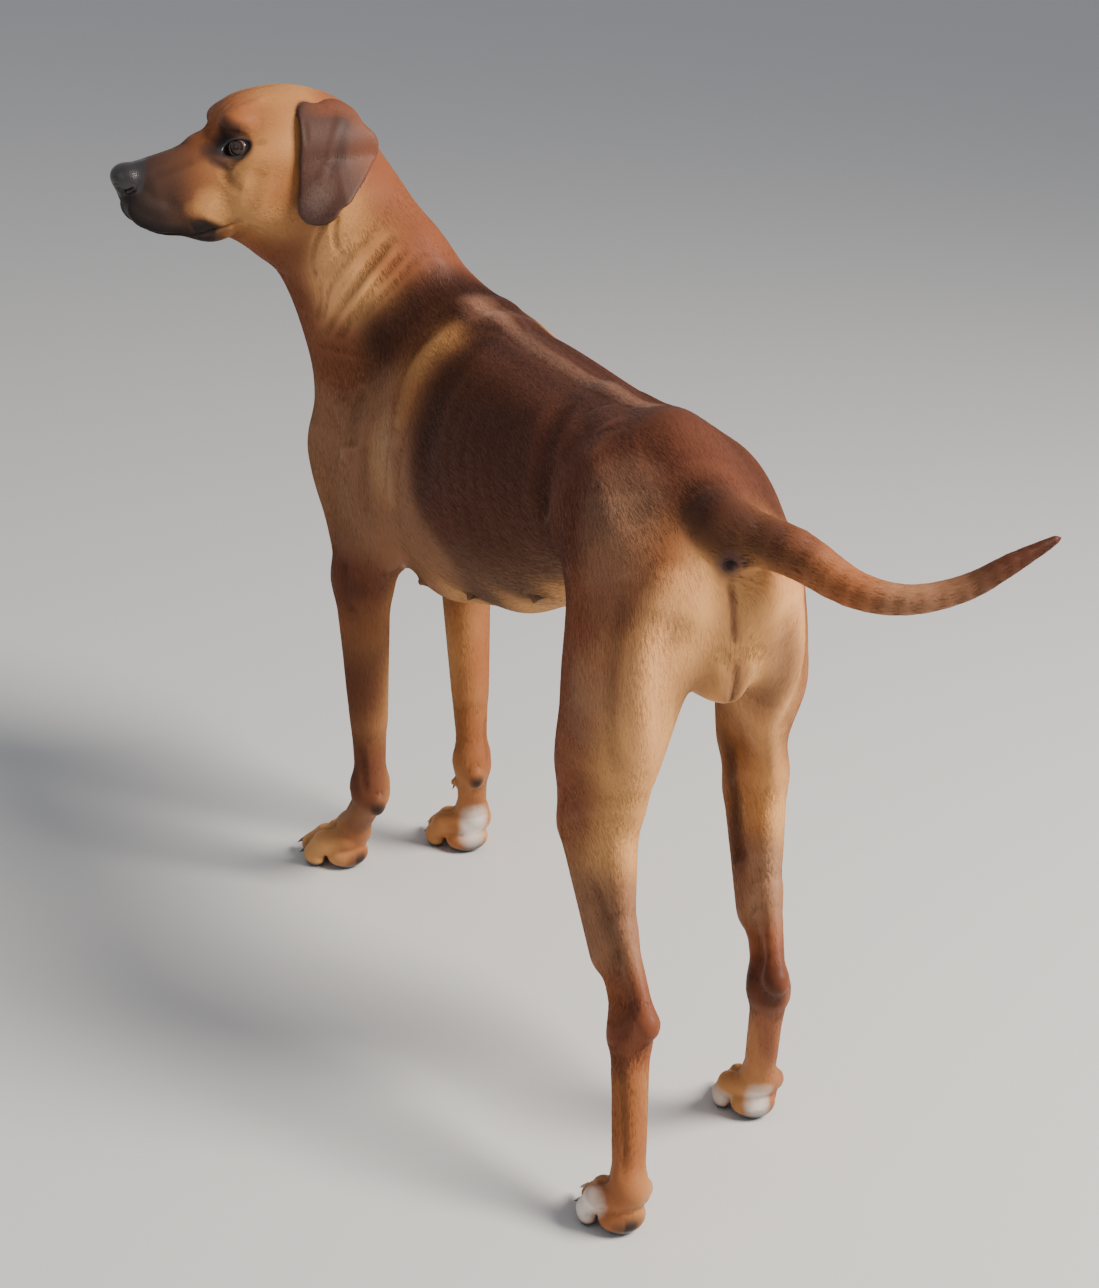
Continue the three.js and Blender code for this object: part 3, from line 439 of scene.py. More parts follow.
def lid_forms():
    """The socket, the lids that close over the ball, and the slit between them."""
    forms = []
    for s in SIDES:
        centre, look, line = eye_centre(s), eye_look(s), lid_line(s)
        forms += [
            Hollow(Mass(centre + look * 16, (13, 8, 10), head_way(0.77, -s * 0.64, 0), 8, look)),
            Mass(centre, (13.9, 13.9, 13.9), look, 5, line),
            Hollow(Mass(slit_centre(s), (12, 13.4, 6.6), look, 1.2, line)),
        ]
    return forms


def curve_through(places, pieces):
    """A smooth line (Catmull-Rom) through the places, in that many steps between each two."""
    places = np.array(places, float)
    ends = np.vstack([2 * places[0] - places[1], places, 2 * places[-1] - places[-2]])
    share = (np.arange(pieces) / pieces)[:, None]
    line = []
    for a, b, c, d in zip(ends, ends[1:], ends[2:], ends[3:]):
        line.append(b + 0.5 * share * (c - a + share * (2 * a - 5 * b + 4 * c - d
                                                        + share * (3 * b - a - 3 * c + d))))
    return np.vstack([*line, places[-1:]])


def tail_forms():
    line = curve_through(TAIL_LINE, TAIL_STEPS)
    share = np.arange(len(line)) / TAIL_STEPS
    radii = np.interp(share, np.arange(len(TAIL_RADII)), TAIL_RADII)
    return [Limb(line[i], line[i + 1], radii[i:i + 2], 12 if i < TAIL_ROOT else 1.5)
            for i in range(len(line) - 1)]


def all_forms():
    return [*trunk_forms(), *foreleg_forms(**LEFT_FORE), *foreleg_forms(**RIGHT_FORE),
            *hindleg_forms(**LEFT_HIND), *hindleg_forms(**RIGHT_HIND), *neck_forms(),
            *head_forms(), *tail_forms(), *lid_forms(), Flap(1), Flap(-1)]


FORMS = all_forms()


def field_at(points):
    """The body's field at each point: negative inside, in about millimetres."""
    value = np.full(len(points), FAR)
    for form in FORMS:
        margin = form.blend + MARGIN
        near = ((points > form.low - margin) & (points < form.high + margin)).all(1)
        if near.any():
            value[near] = join(form, value[near], points[near])
    return value


def settle(points, level, steps=3, most=1.5):
    """Moves points along the field's slope on to the surface at that level."""
    reach = 0.4
    for _ in range(steps):
        value = field_at(points)
        slope = np.stack([(field_at(points + reach * axis) - field_at(points - reach * axis))
                          / (2 * reach) for axis in np.eye(3)], -1)
        size = np.maximum((slope * slope).sum(1), 0.2)
        move = slope * ((value - level) / size)[:, None]
        length = np.linalg.norm(move, axis=1)
        move *= np.minimum(1, most / np.maximum(length, 1e-9))[:, None]
        points = points - move
    return points


# ---------------------------------------------------------------- casting the skin
def graded(low, high, zones):
    """Planes across low to high, COARSE apart, and closer inside each zone."""
    planes = [low]
    while planes[-1] < high:
        step = min([fine for a, b, fine in zones if a <= planes[-1] < b], default=COARSE)
        planes.append(planes[-1] + step)
    return np.array(planes)


def sample(axes):
    """The field wherever three planes cross."""
    field = np.full([len(axis) for axis in axes], FAR, np.float32)
    for form in FORMS:
        margin = form.blend + MARGIN
        part = tuple(slice(*np.searchsorted(axis, (form.low[i] - margin, form.high[i] + margin)))
                     for i, axis in enumerate(axes))
        grid = np.meshgrid(*(axis[cut] for axis, cut in zip(axes, part)), indexing="ij")
        if grid[0].size:
            field[part] = join(form, field[part], np.stack(grid, -1))
    return field


def surface_nets(field, axes):
    """One point in each cell that the surface crosses, and a face across each crossed edge."""
    inside = field < 0
    cells = [n - 1 for n in field.shape]
    corners = [(i, j, k) for i in (0, 1) for j in (0, 1) for k in (0, 1)]
    count = sum(inside[i:i + cells[0], j:j + cells[1], k:k + cells[2]].astype(np.uint8)
                for i, j, k in corners)
    crossed = np.argwhere((count > 0) & (count < 8))
    index = np.full(cells, -1, np.int32)
    index[tuple(crossed.T)] = np.arange(len(crossed))
    total, hits = np.zeros((len(crossed), 3)), np.zeros(len(crossed))
    value = {o: field[tuple((crossed + o).T)] for o in corners}
    place = {o: np.stack([axes[a][crossed[:, a] + o[a]] for a in range(3)], -1) for o in corners}
    for axis in range(3):
        for start in (o for o in corners if not o[axis]):
            end = tuple(1 if a == axis else start[a] for a in range(3))
            a, b = value[start], value[end]
            cut = (a < 0) != (b < 0)
            share = (a[cut] / (a[cut] - b[cut]))[:, None]
            total[cut] += place[start][cut] * (1 - share) + place[end][cut] * share
            hits[cut] += 1
    quads = []
    for axis in range(3):
        one, two = (axis + 1) % 3, (axis + 2) % 3
        ahead, behind = [slice(None)] * 3, [slice(None)] * 3
        ahead[axis], behind[axis] = slice(1, None), slice(0, -1)
        edges = np.argwhere(inside[tuple(behind)] != inside[tuple(ahead)])
        whole = (edges[:, one] > 0) & (edges[:, two] > 0)
        whole &= (edges[:, one] < cells[one]) & (edges[:, two] < cells[two])
        edges = edges[whole]
        ring = []
        for back_one, back_two in ((1, 1), (0, 1), (0, 0), (1, 0)):
            cell = edges.copy()
            cell[:, one] -= back_one
            cell[:, two] -= back_two
            ring.append(index[tuple(cell.T)])
        ring = np.stack(ring, -1)
        outward = inside[tuple(edges.T)]
        ring[~outward] = ring[~outward][:, ::-1]
        quads.append(ring)
    return total / hits[:, None], np.concatenate(quads)


def cast_skin():
    zones = ([(HEAD_FROM[0], BODY_HIGH[0], FINE)], [(HEAD_SIDE, HEAD_FROM[1], FINE)],
             [(BODY_LOW[2], FEET_TO, FOOT), (HEAD_FROM[2], BODY_HIGH[2], FINE)])
    axes = [graded(*span) for span in zip(BODY_LOW, BODY_HIGH, zones)]
    field = sample(axes) + np.float32(COAT_DEPTH)
    field = np.maximum(field, (SOLE - axes[2]).astype(np.float32))  # the floor
    return surface_nets(field, axes)


def mesh_from(name, points, faces):
    mesh = bpy.data.meshes.new(name)
    mesh.from_pydata(points.tolist(), [], faces)
    mesh.update()
    return mesh


def points_of(mesh):
    points = np.empty(len(mesh.vertices) * 3)
    mesh.vertices.foreach_get("co", points)
    return points.reshape(-1, 3)


def normals_of(mesh):
    normals = np.empty(len(mesh.vertices) * 3)
    mesh.vertex_normals.foreach_get("vector", normals)
    return normals.reshape(-1, 3)


def within(points, places, extra):
    """Whether each point is in reach of one of the places (centre, reach)."""
    return np.any([((points - centre) ** 2).sum(1) < (reach + extra) ** 2
                   for centre, reach in places], 0)


def refine(mesh, places):
    """Halves the faces near the places and lays the new points on the surface."""
    sheet = bmesh.new()
    sheet.from_mesh(mesh)
    near = within(points_of(mesh), places, 0)
    sheet.verts.ensure_lookup_table()
    edges = [edge for edge in sheet.edges if all(near[vert.index] for vert in edge.verts)]
    bmesh.ops.subdivide_edges(sheet, edges=edges, cuts=1, use_grid_fill=True)
    sheet.to_mesh(mesh)
    sheet.free()
    points = points_of(mesh)
    near = within(points, places, 3) & (points[:, 2] > 1)
    points[near] = settle(points[near], -COAT_DEPTH, 2, 0.8)
    mesh.vertices.foreach_set("co", points.ravel())
    mesh.update()


# ---------------------------------------------------------------- strokes on the body
MID_BACK, MID_SIDE = (-400, -165, 90, 400), (24, 16, 0, 0)  # the trunk's middle plane


def other_side(x, y, z):
    """The same place on the dog's right side of the trunk."""
    return v(2 * np.interp(y, MID_BACK, MID_SIDE) - x, y, z)


def placed(strokes, way):
    """The strokes with their last item, a list of places, put through the way."""
    return [(*head, [way(*place) for place in places]) for *head, places in strokes]


def on_side(way, side):
    """The way for a place that is given for the left side."""
    return lambda ahead, left, above: way(ahead, side * left, above)


def beside(leg):
    """The way for a place that is given as a joint and how far out, back and up from it."""
    return lambda joint, out, back, up: joint + v(leg["side"] * out, back, up)


class Stroke:
    """A soft line on the skin: how far it reaches to each side, and how strong it is."""

    def __init__(self, places, reach, amount, ends=0.3, sharp=2):
        self.line = curve_through(places, 4) if len(places) > 1 else np.array(places, float)
        self.reach, self.amount, self.ends, self.sharp = reach, amount, ends, sharp

    def lay(self, line):
        self.line = line
        self.low, self.high = line.min(0) - self.reach, line.max(0) + self.reach

    def share(self, points):
        """From 1 on the line to 0 at its reach, with fading ends."""
        share = np.zeros(len(points))
        near = ((points > self.low) & (points < self.high)).all(1)
        if not near.any():
            return share
        inside = points[near]
        best, along = np.full(len(inside), FAR), np.zeros(len(inside))
        ends = self.line[1:] if len(self.line) > 1 else self.line
        for i, (a, b) in enumerate(zip(self.line, ends)):
            run = b - a
            part = np.clip((inside - a) @ run / max(run @ run, 1e-6), 0, 1)
            away = np.linalg.norm(inside - a - np.multiply.outer(part, run), axis=1)
            along = np.where(away < best, (i + part) / max(len(self.line) - 1, 1), along)
            best = np.minimum(best, away)
        fall = np.clip(1 - (best / self.reach) ** 2, 0, 1) ** self.sharp
        if len(self.line) > 1 and self.ends:
            fall = fall * ease(0, self.ends, along + 0.12) * ease(0, self.ends, 1.12 - along)
        share[near] = fall
        return share


def lay_on_skin(strokes):
    """Moves the lines of all the strokes on to the skin's surface."""
    settled = settle(np.vstack([stroke.line for stroke in strokes]), -COAT_DEPTH, 5, 7)
    ends = np.cumsum([len(stroke.line) for stroke in strokes])[:-1]
    for stroke, line in zip(strokes, np.split(settled, ends)):
        stroke.lay(line)
    return strokes


def trunk_relief():
    """Reach, height and places of the trunk's folds and muscles, for the dog's left side."""
    strokes = [
        (28, -3, [(11, -178, 641), (38, -183, 644), (68, -187, 630), (90, -194, 604),
         (107, -214, 555)]), (18, -2, [(111, -218, 531), (123, -208, 495), (127, -199, 473)]),
        (26, 3.2, [(39, -130, 616), (65, -132, 598), (88, -129, 572), (104, -116, 543),
         (111, -110, 510)]),
        (34, -2.6, [(44, -90, 609), (75, -72, 587), (94, -66, 560), (105, -56, 530),
         (110, -54, 490)]), (18, 3, [(111, -110, 516), (115, -113, 477), (108, -125, 434)]),
        (14, -1.4, [(119, -180, 487), (123, -170, 451), (120, -159, 414)]),
        (18, 2.5, [(126, -251, 508), (126, -219, 487), (126, -210, 455)]),  # point of shoulder
        (24, -3.5, [(45, 108, 597), (70, 139, 573), (81, 156, 544), (84, 176, 516)]),  # flank
        (22, 2.5, [(31, 150, 606), (44, 205, 598)]),  # hip bone
        (20, -2, [(44, 215, 592), (60, 262, 574), (60, 310, 548)]),
        (13, -1.4, [(22, -80, 614), (22, 0, 608), (19, 80, 606), (19, 170, 607)]),  # by the spine
        (20, 2.4, [(90, 250, 520), (96, 280, 480), (98, 300, 440), (92, 322, 390)]),  # thigh
        (13, -2.2, [(80, 330, 505), (90, 337, 455), (88, 345, 400), (80, 350, 360)]),
        (17, 2.2, [(58, 350, 520), (70, 354, 480), (76, 362, 430), (66, 362, 376)]),
        (14, -0.7, [(36, 356, 532), (44, 368, 500), (54, 365, 470)]),
    ]
    for i in range(7):  # ribs
        top = -44 + 25 * i
        strokes.append((11, 0.4 - 0.03 * i, [(74, top, 580), (100, top + 22, 540),
                                             (104, top + 44, 490), (92, top + 52, 450)]))
    return strokes


def neck_relief():
    """The folds of the turned neck, which show on the dog's left."""
    return [
        (8, -1.7, [(88, -221, 671), (106, -218, 651), (124, -222, 623), (133, -234, 600),
         (138, -253, 576)]),
        (8, -1.6, [(80, -209, 660), (96, -207, 641), (113, -211, 618), (123, -222, 597),
         (128, -239, 575)]),
        (7, 1.1, [(85, -215, 665), (102, -212, 646), (119, -216, 620), (129, -228, 598)]),
        (8, -1.2, [(64, -201, 661), (81, -201, 644), (97, -203, 627), (111, -209, 609),
         (120, -221, 590)]),
        (9, 1.0, [(98, -226, 676), (116, -228, 652), (130, -236, 626), (138, -247, 603)]),
        (6, -1.4, [(141, -259, 681), (149, -263, 661), (151, -264, 642), (148, -258, 626)]),
        (6, -1.1, [(131, -256, 690), (134, -252, 673), (133, -246, 657)]),
        (6, -1.2, [(147, -255, 624), (145, -254, 607), (144, -261, 588)]),
        (6, -1.0, [(139, -242, 624), (141, -247, 606), (142, -255, 587)]),
        (14, 1.2, [(40, -196, 652), (50, -214, 664), (62, -232, 678)]),  # crest
    ]


def rear_relief():
    """Under the tail: the anus, the line below it and the vulva."""
    return [
        (8, -5, [(12, 368, 533)]), (18, 3, [(12, 368, 533)]),
        (6, -1.8, [(7, 366, 520), (4, 366, 505), (-1, 367, 472)]),
        (9, 2.5, [(10, 360, 455), (4, 362, 430), (-4, 360, 408)]),
        (9, 2.5, [(-22, 358, 455), (-18, 360, 430), (-8, 360, 408)]),
        (4.5, -3, [(-6, 365, 452), (-7, 364, 430), (-7, 361, 408)]),
    ]


def leg_relief():
    """The tendons, the joints and the grooves between the toes."""
    strokes = []
    for leg in FORELEGS:
        elbow, wrist = of_leg(leg, "elbow wrist")
        strokes += placed([
            (10, -2.2, [(elbow, 24, 4, 26), (elbow, 24, 6, -8), (elbow, 17, 10, -34)]),
            (8, -1.5, [(elbow, 22, -22, -18), ((elbow + wrist) / 2, 19, -10, 0),
                       (wrist, 15, -6, 26)]),
            (7, -1.6, [(wrist, 15, 8, 52), (wrist, 13, 12, 26), (wrist, 10, 14, 4)]),
            (8, 1.4, [(wrist, 18, -2, 14), (wrist, 18, -4, -4)]),
            (8, 1.4, [(wrist, -18, -2, 12), (wrist, -18, -4, -4)]),
            (7, -1, [(wrist, 0, -20, 4), (wrist, 0, -20, -18)]),
        ], beside(leg))
    for leg in FORELEGS + HINDLEGS:
        scale = FOREPAW_SCALE if "wrist" in leg else HINDPAW_SCALE
        for (out, ahead), (next_out, next_ahead) in zip(TOES, TOES[1:]):
            across, reach = (out + next_out) / 2 * scale, (ahead + next_ahead) / 2 * scale
            strokes.append((5.5, -3, [
                on_paw(*of_leg(leg, "knuckle toe"), reach * share, across * wide, height)
                for share, wide, height in GROOVE]))
    for leg in HINDLEGS:
        knee, hock, knuckle = of_leg(leg, "knee hock knuckle")
        half, third = hock + (knee - hock) * 0.5, hock + (knee - hock) * 0.3
        strokes += placed([
            (11, -3, [(knee, 24, 56, -40), (half, 14, 30, 0), (third, 10, 22, 2)]),
            (8, -1.2, [(third, 10, 22, 2), (hock, 9, 17, 22), (hock, 12, 16, -2)]),
            (12, 1.8, [(knee, 26, -2, 16), (knee, 26, -6, -8), (knee, 22, -4, -34)]),
            (12, 1.2, [(hock, 17, 0, 8), (hock, 15, 4, -8)]),
            (12, 1.2, [(hock, -17, 0, 8), (hock, -15, 4, -8)]),
            (6, -1.5, [(hock, 12, 16, -14), ((hock + knuckle) / 2, 11, 12, 0),
                       (knuckle, 12, 10, 18)]),
            (4, 1, [(hock, 16, 2, -24), (hock * 0.6 + knuckle * 0.4, 16, -2, 6),
                    (hock * 0.35 + knuckle * 0.65, 15, 4, 0)]),
        ], beside(leg))
    return strokes


def head_relief():
    strokes = placed([
        (8, -1.1, [(12, 0, 30), (-8, 0, 46), (-30, 0, 54), (-50, 0, 58)]),
        (7, -0.8, [(92, 0, -14), (64, 0, -4), (38, 0, 2)]),
        (3, -2, [(118, 0, -32), (116, 0, -44), (110, 0, -54)]),  # under the nose
        (9, 0.6, [(-74, 0, 57), (-100, 0, 42)]),
    ], on_side(in_head, 1))
    both = [
        (5, -0.7, [(28, 7, 9), (20, 12, 22), (12, 11, 36), (-2, 11, 46)]),
        (4.5, -0.5, [(20, 19, 22), (12, 21, 36), (0, 20, 46)]),
        (7, 1.2, [(0, 30, 38), (-14, 32, 44), (-30, 30, 50)]),
        (4, -0.6, [(22, 22, 10), (14, 28, 17), (2, 34, 19), (-10, 39, 12)]),  # lids
        (5, -0.7, [(24, 29, -14), (12, 37, -18), (-2, 42, -17), (-14, 44, -9)]),
        (8, -1, [(18, 41, -15), (12, 46, -31), (2, 52, -38)]),
        (8, -1.2, [(40, 24, -14), (60, 20, -20), (82, 17, -26)]),
        (12, -1, [(-5, 51, -60), (-10, 57, -36), (-16, 58, -17)]),
        (3.2, -1.8, [(104, 10, -66), (88, 18, -76), (66, 22, -80), (44, 26, -80), (22, 30, -74),
         (4, 34, -70)]),  # mouth
        (6, 1.2, [(36, 34, -62), (22, 36, -70), (6, 36, -80)]),
        (10, 1, [(96, 16, -40), (86, 22, -50), (70, 27, -56)]),  # flews
        (3.6, -3.4, [(113, 10, -37), (105, 15, -38), (97, 17, -34)]),  # nostril's slit
        (5, -0.8, [(-60, 64, 36), (-58, 66, 4), (-56, 66, -40)]),  # ear
        (7, 0.9, [(-96, 62, 34), (-84, 68, 4), (-68, 68, -36)]),
        (8, 0.8, [(-84, 52, 48), (-104, 50, 36), (-124, 46, 18)]),
    ]
    return strokes + [stroke for s in SIDES for stroke in placed(both, on_side(in_head, s))]


def make_relief():
    """Every stroke of relief, laid on the skin."""
    strokes = [stroke for way in (v, other_side) for stroke in placed(trunk_relief(), way)]
    strokes += [*neck_relief(), *rear_relief(), *leg_relief(), *head_relief()]
    return lay_on_skin([Stroke(places, reach, height) for reach, height, places in strokes])


TEATS = [(68, -144, 351), (52, -50, 372), (44, 74, 404), (36, 150, 440)]


def relief_at(points):
    """How far the folds and muscles move the skin, and the painted shade in the grooves."""
    height, shadow = np.zeros(len(points)), np.zeros(len(points))
    for stroke in RELIEF:
        share = stroke.share(points)
        height += share * stroke.amount
        if stroke.amount < 0:
            shadow = np.maximum(shadow, share * min(1, -stroke.amount / 3))
    return height, shadow


RELIEF = make_relief()


# ---------------------------------------------------------------- colours, as display values
def shade(text):
    """A linear colour from a display one."""
    display = np.array([int(text[i:i + 2], 16) for i in (0, 2, 4)]) / 255
    return np.where(display < 0.04045, display / 12.92, ((display + 0.055) / 1.055) ** 2.4)


(RED, CHESTNUT, MAHOGANY, DARK, SABLE, GOLD, TAN, CREAM, WHITE, MASK, SOOT, EAR, EAR_DARK, PAD,
 BARE, PURPLE, UMBER_SHADE, RIDGE_SHEEN, DEEP, DUN, BUFF, EAR_SHEEN) = map(shade, (
    "945733", "80482f", "653726", "553020", "97694b", "b57d4a", "d79c60", "e4b47c", "e8dfd4",
    "272120", "4a3228", "553a31", "3f2b26", "292423", "7d4c3e", "4a3438", "6b4a36", "966a54",
    "3c2016", "b8906f", "eaa96e", "8c7267"))
BLOTCH = 0.07  # how much the coat's colour varies from place to place


def trunk_colours():
    both = [
        (MAHOGANY, [(14, -170, 640), (12, -110, 622), (12, -40, 616), (10, 50, 612), (6, 150, 613),
         (4, 250, 606), (52, -60, 604), (104, 0, 455), (60, 40, 594), (62, 150, 590),
         (78, 200, 560), (84, -158, 590), (92, 240, 520), (60, 270, 580)]),
        # DARK here is partly the coat's darker flank and partly painted shade, on the flank and in
        # the hollow before the shoulder blade
        (DARK, [(84, -70, 580), (106, -46, 535), (108, -30, 490), (84, 60, 560), (86, 90, 520),
         (88, 40, 480), (78, 140, 500), (100, -198, 590), (70, -180, 620), (42, -165, 632)]),
        # painted shade low on the flank, above the belly
        (UMBER_SHADE, [(64, 60, 425), (92, 10, 430), (70, 120, 450), (50, -20, 385)]),
        (SABLE, [(92, -60, 400), (62, -160, 365), (70, -320, 480), (118, -262, 500),
         (124, -215, 490), (118, -160, 460), (112, -140, 410), (112, -190, 410), (112, -112, 500),
         (110, -112, 450), (112, -176, 536)]),
        (TAN, [(20, -90, 352), (10, 20, 385), (0, 110, 425), (30, -250, 370), (72, 362, 440),
         (64, 364, 400), (62, 358, 350), (40, 366, 500), (28, 360, 530), (52, 366, 470),
         (30, 350, 470), (24, 340, 440)]),
        # the gold behind the shoulder blade is a painted highlight
        (GOLD, [(30, -330, 430), (88, -128, 572), (66, -132, 598)]),
        (RED, [(100, -118, 548), (86, 345, 440), (72, 350, 505), (56, 352, 535)]),
        (CHESTNUT, [(98, 290, 470), (96, 255, 400), (100, 300, 400), (88, 325, 500)]),
        (CREAM, [(30, 300, 400)]),
    ]
    return placed(both, v) + placed(both, other_side)


def neck_colours():
    return [
        (CHESTNUT, [(44, -200, 656), (70, -210, 668), (96, -232, 700), (124, -230, 572),
         (130, -250, 540), (148, -290, 600), (150, -300, 650), (120, -370, 590), (0, -290, 570),
         (10, -230, 640)]), (RED, [(92, -206, 646)]), (TAN, [(112, -214, 624), (130, -250, 690)]),
        (GOLD, [(100, -226, 680), (20, -290, 640), (60, -350, 670), (50, -370, 560),
         # BUFF on the side of the neck is partly the coat's gold and partly painted highlight
         (90, -350, 520)]), (BUFF, [(128, -232, 612), (136, -250, 640)]),
    ]


def head_colours():
    both = [
        (GOLD, [(-60, 14, 55), (-30, 22, 52), (16, 40, -50), (-12, 54, -36), (-20, 50, 0),
         (-40, 54, 10)]),
        (RED, [(-8, 12, 44), (10, 8, 28), (10, 32, 32), (-10, 40, 28), (28, 6, 6), (30, 30, -30),
         (34, 34, -50), (-30, 58, -40), (10, 14, -92), (-100, 30, 40), (-130, 20, 10),
         (-90, 50, -50), (-120, 46, -30)]),
        (SOOT, [(46, 6, 2), (70, 6, -4), (70, 24, -30), (50, 28, -34)]),
        (MASK, [(88, 8, -14), (92, 18, -40), (100, 10, -60), (80, 24, -60), (58, 30, -58),
         (50, 16, -86), (90, 10, -74)]), (TAN, [(6, 46, -30), (0, 44, -66), (-24, 50, -72)]),
        (CHESTNUT, [(-30, 20, -104), (-60, 40, -90)]),
    ]
    return [group for s in SIDES for group in placed(both, on_side(in_head, s))]


def leg_colours():
    """Round each joint, darker behind and on the outside. The dark left foreleg is painted shade.
    """
    groups = []
    # the left foreleg is darker than the right all round: painted shade of the side turned from the
    # light
    for leg, upper, lower in ((LEFT_FORE, MAHOGANY, MAHOGANY), (RIGHT_FORE, RED, RED)):
        elbow, wrist, knuckle = of_leg(leg, "elbow wrist knuckle")
        middle = (elbow + wrist) / 2
        groups += placed([
            (upper, [(elbow, 24, 0, 0), (middle, 0, 20, 0), (wrist, 0, 18, 10),
                     (knuckle, 0, 18, 20)]),
            (lower, [(middle, 20, 0, 0), (wrist, 20, 0, 10)]), (MAHOGANY, [(elbow, 0, 24, 0)]),
            (GOLD, [(elbow, -24, 0, -10), (wrist, -20, 0, 0), (knuckle, 18, 0, 30),
                    (knuckle, -18, 0, 20)]),
            (RED, [(elbow, 0, -30, -20), (knuckle, 0, 20, -20)]),
            (TAN, [(middle, -20, 0, 0), (knuckle, 0, -34, 4), (knuckle, 24, -10, -24)]),
        ], beside(leg))
    for leg in HINDLEGS:
        knee, hock, heel, knuckle = of_leg(leg, "knee hock heel knuckle")
        shin, cannon = (knee + hock) / 2, (hock + knuckle) / 2
        groups += placed([
            (CHESTNUT, [(knee, 26, -6, 20), (knee, 22, 34, 10), (hock, 17, 0, 4), (heel, 0, 8, 4),
                        (hock, -17, 0, 4)]),
            (RED, [(knee, 0, -26, 20), (hock, 0, -18, 0), (cannon, 16, 6, 0), (cannon, 0, 18, 0),
                   (knuckle, 0, -20, 20), (knuckle, 20, 0, -10)]),
            (GOLD, [(knee, -26, 10, 20), (cannon, -16, 0, 0), (knuckle, -20, 0, -10),
                    (knuckle, 0, -34, -10)]),
            (SABLE, [(shin, 18, 0, 0), (shin, -18, 8, 0), (shin, 0, 30, 10)]),
            (TAN, [(knee, 0, 60, -4)]),
        ], beside(leg))
    return groups


def tail_colours():
    tints = (MAHOGANY, MAHOGANY, CHESTNUT, RED, SABLE, SABLE, CHESTNUT, MAHOGANY)
    return [(tint, [place]) for tint, place in zip(tints, TAIL_LINE)]


def spread(points, groups, soft):
    """Values at the points, blended from the groups (a value and its places) that lie nearest."""
    total, weight = np.zeros((len(points), 3)), np.zeros(len(points))
    for value, places in groups:
        for place in places:
            near = 1 / (((points - place) ** 2).sum(1) + soft * soft) ** 3
            total += near[:, None] * value
            weight += near
    return total / weight[:, None]


def blotches(points, size):
    """A smooth wandering value between about -1 and 1."""
    x, y, z = (points / size).T
    return (np.sin(x * 1.7 + 2 * np.sin(y * 0.9)) + np.sin(y * 1.9 + 2 * np.sin(z * 1.1))
            + np.sin(z * 1.6 + 2 * np.sin(x * 1.2))) / 3


def body_marks():
    """Strokes of colour, painted shade and highlights too: reach, colour, strength and places."""
    ridge = [*RIDGE_LINE[:-1], (5, 200, 616)]
    both = [
        # painted shade in the hollow in front of the shoulder blade
        (34, DARK, 0.85, [(44, -172, 636), (74, -182, 618), (96, -194, 594), (108, -200, 560)]),
        # partly the coat's darker flank, partly painted shade of the side turned from the light
        (46, DARK, 0.6, [(84, -72, 580), (104, -52, 540), (110, -38, 490)]),
        (52, DEEP, 0.4, [(70, -10, 590), (80, 50, 578)]),
        # the same, lower on the flank: partly darker coat, partly painted shade
        (60, DARK, 0.5, [(84, 40, 530), (88, 100, 500)]),
        (44, DARK, 0.7, [(104, -14, 470), (92, 40, 462), (76, 110, 470)]),
        (34, SABLE, 0.6, [(118, -160, 480), (118, -150, 430)]),
        # Painted highlights: along the rear edge of the shoulder blade, then on the shoulder.
        (22, TAN, 0.3, [(66, -134, 598), (88, -128, 572), (104, -116, 543), (110, -116, 515)]),
        (34, TAN, 0.4, [(119, -150, 500), (117, -134, 462)]),
        (54, DEEP, 0.65, [(20, -150, 632), (14, -40, 618), (8, 80, 612), (5, 200, 616)]),
        (50, DARK, 0.65, [(40, 200, 600), (60, 260, 575), (50, 320, 560)]),
        (50, DARK, 0.45, [(22, 220, 606), (18, 290, 596)]),
        (40, DEEP, 0.8, [(30, -178, 642), (16, -140, 630)]),
        # paler back of the thigh: partly the coat's own paler colour, partly painted highlight
        (26, BUFF, 0.75, [(52, 356, 510), (64, 358, 475), (71, 364, 430), (66, 364, 370)]),
    ]
    marks = [side for mark in both for way in (v, other_side) for side in placed([mark], way)]
    marks += [
        (44, CHESTNUT, 0.75, [(48, -232, 672), (75, -280, 718), (99, -330, 762)]),  # crest
        (30, DUN, 0.45, [(116, -148, 506), (115, -140, 470)]),  # painted highlight on the left shoulder
        (44, DUN, 0.28, [(66, 272, 570), (80, 300, 540), (90, 318, 508)]),  # painted highlight on the left hip
        (40, DUN, 0.35, [(97, 332, 440), (98, 320, 404)]),  # painted highlight on the left thigh
        # A paler strip along the ridge, painted sheen of the hair that lies forward, and a dark
        # line each side, partly darker hair and partly painted shade in the furrow
        (22, RIDGE_SHEEN, 0.7, ridge[:2]), (10, RIDGE_SHEEN, 0.65, ridge),
        (6, DARK, 0.55, [v(*place) + v(14, 0, 0) for place in ridge]),
        (6, DARK, 0.55, [v(*place) - v(14, 0, 0) for place in ridge]),
        (17, DARK, 0.8, [(6, 345, 556), (12, 364, 545), (12, 368, 530)]),  # painted shade under the tail's root
        (34, DEEP, 0.9, [v(*place) + v(12, 10, 16) for place in TAIL_LINE[:3]]),
        (26, DEEP, 0.8, [v(*place) + v(8, 8, 12) for place in TAIL_LINE[-3:]]),
        (26, UMBER_SHADE, 0.6, [(36, 352, 440), (28, 338, 405)]),  # painted shade inside the thighs, this line and the next
        (24, UMBER_SHADE, 0.75, [(-44, 350, 475), (-56, 340, 440), (-50, 330, 400)]),
        (15, PURPLE, 0.95, [(12, 368, 534)]), (7, PAD, 1, [(12, 368, 532)]),
        (4.5, BARE, 0.8, [(7, 366, 515), (-1, 367, 472)]),
        (13, BARE, 0.5, [(-7, 363, 450), (-7, 361, 414)]),
        (2.8, DARK, 0.9, [(-6, 365, 450), (-7, 364, 430), (-7, 361, 412)]),
    ]
    return marks + [(9, SOOT, 0.9, [way(*place)]) for way in (v, other_side) for place in TEATS]


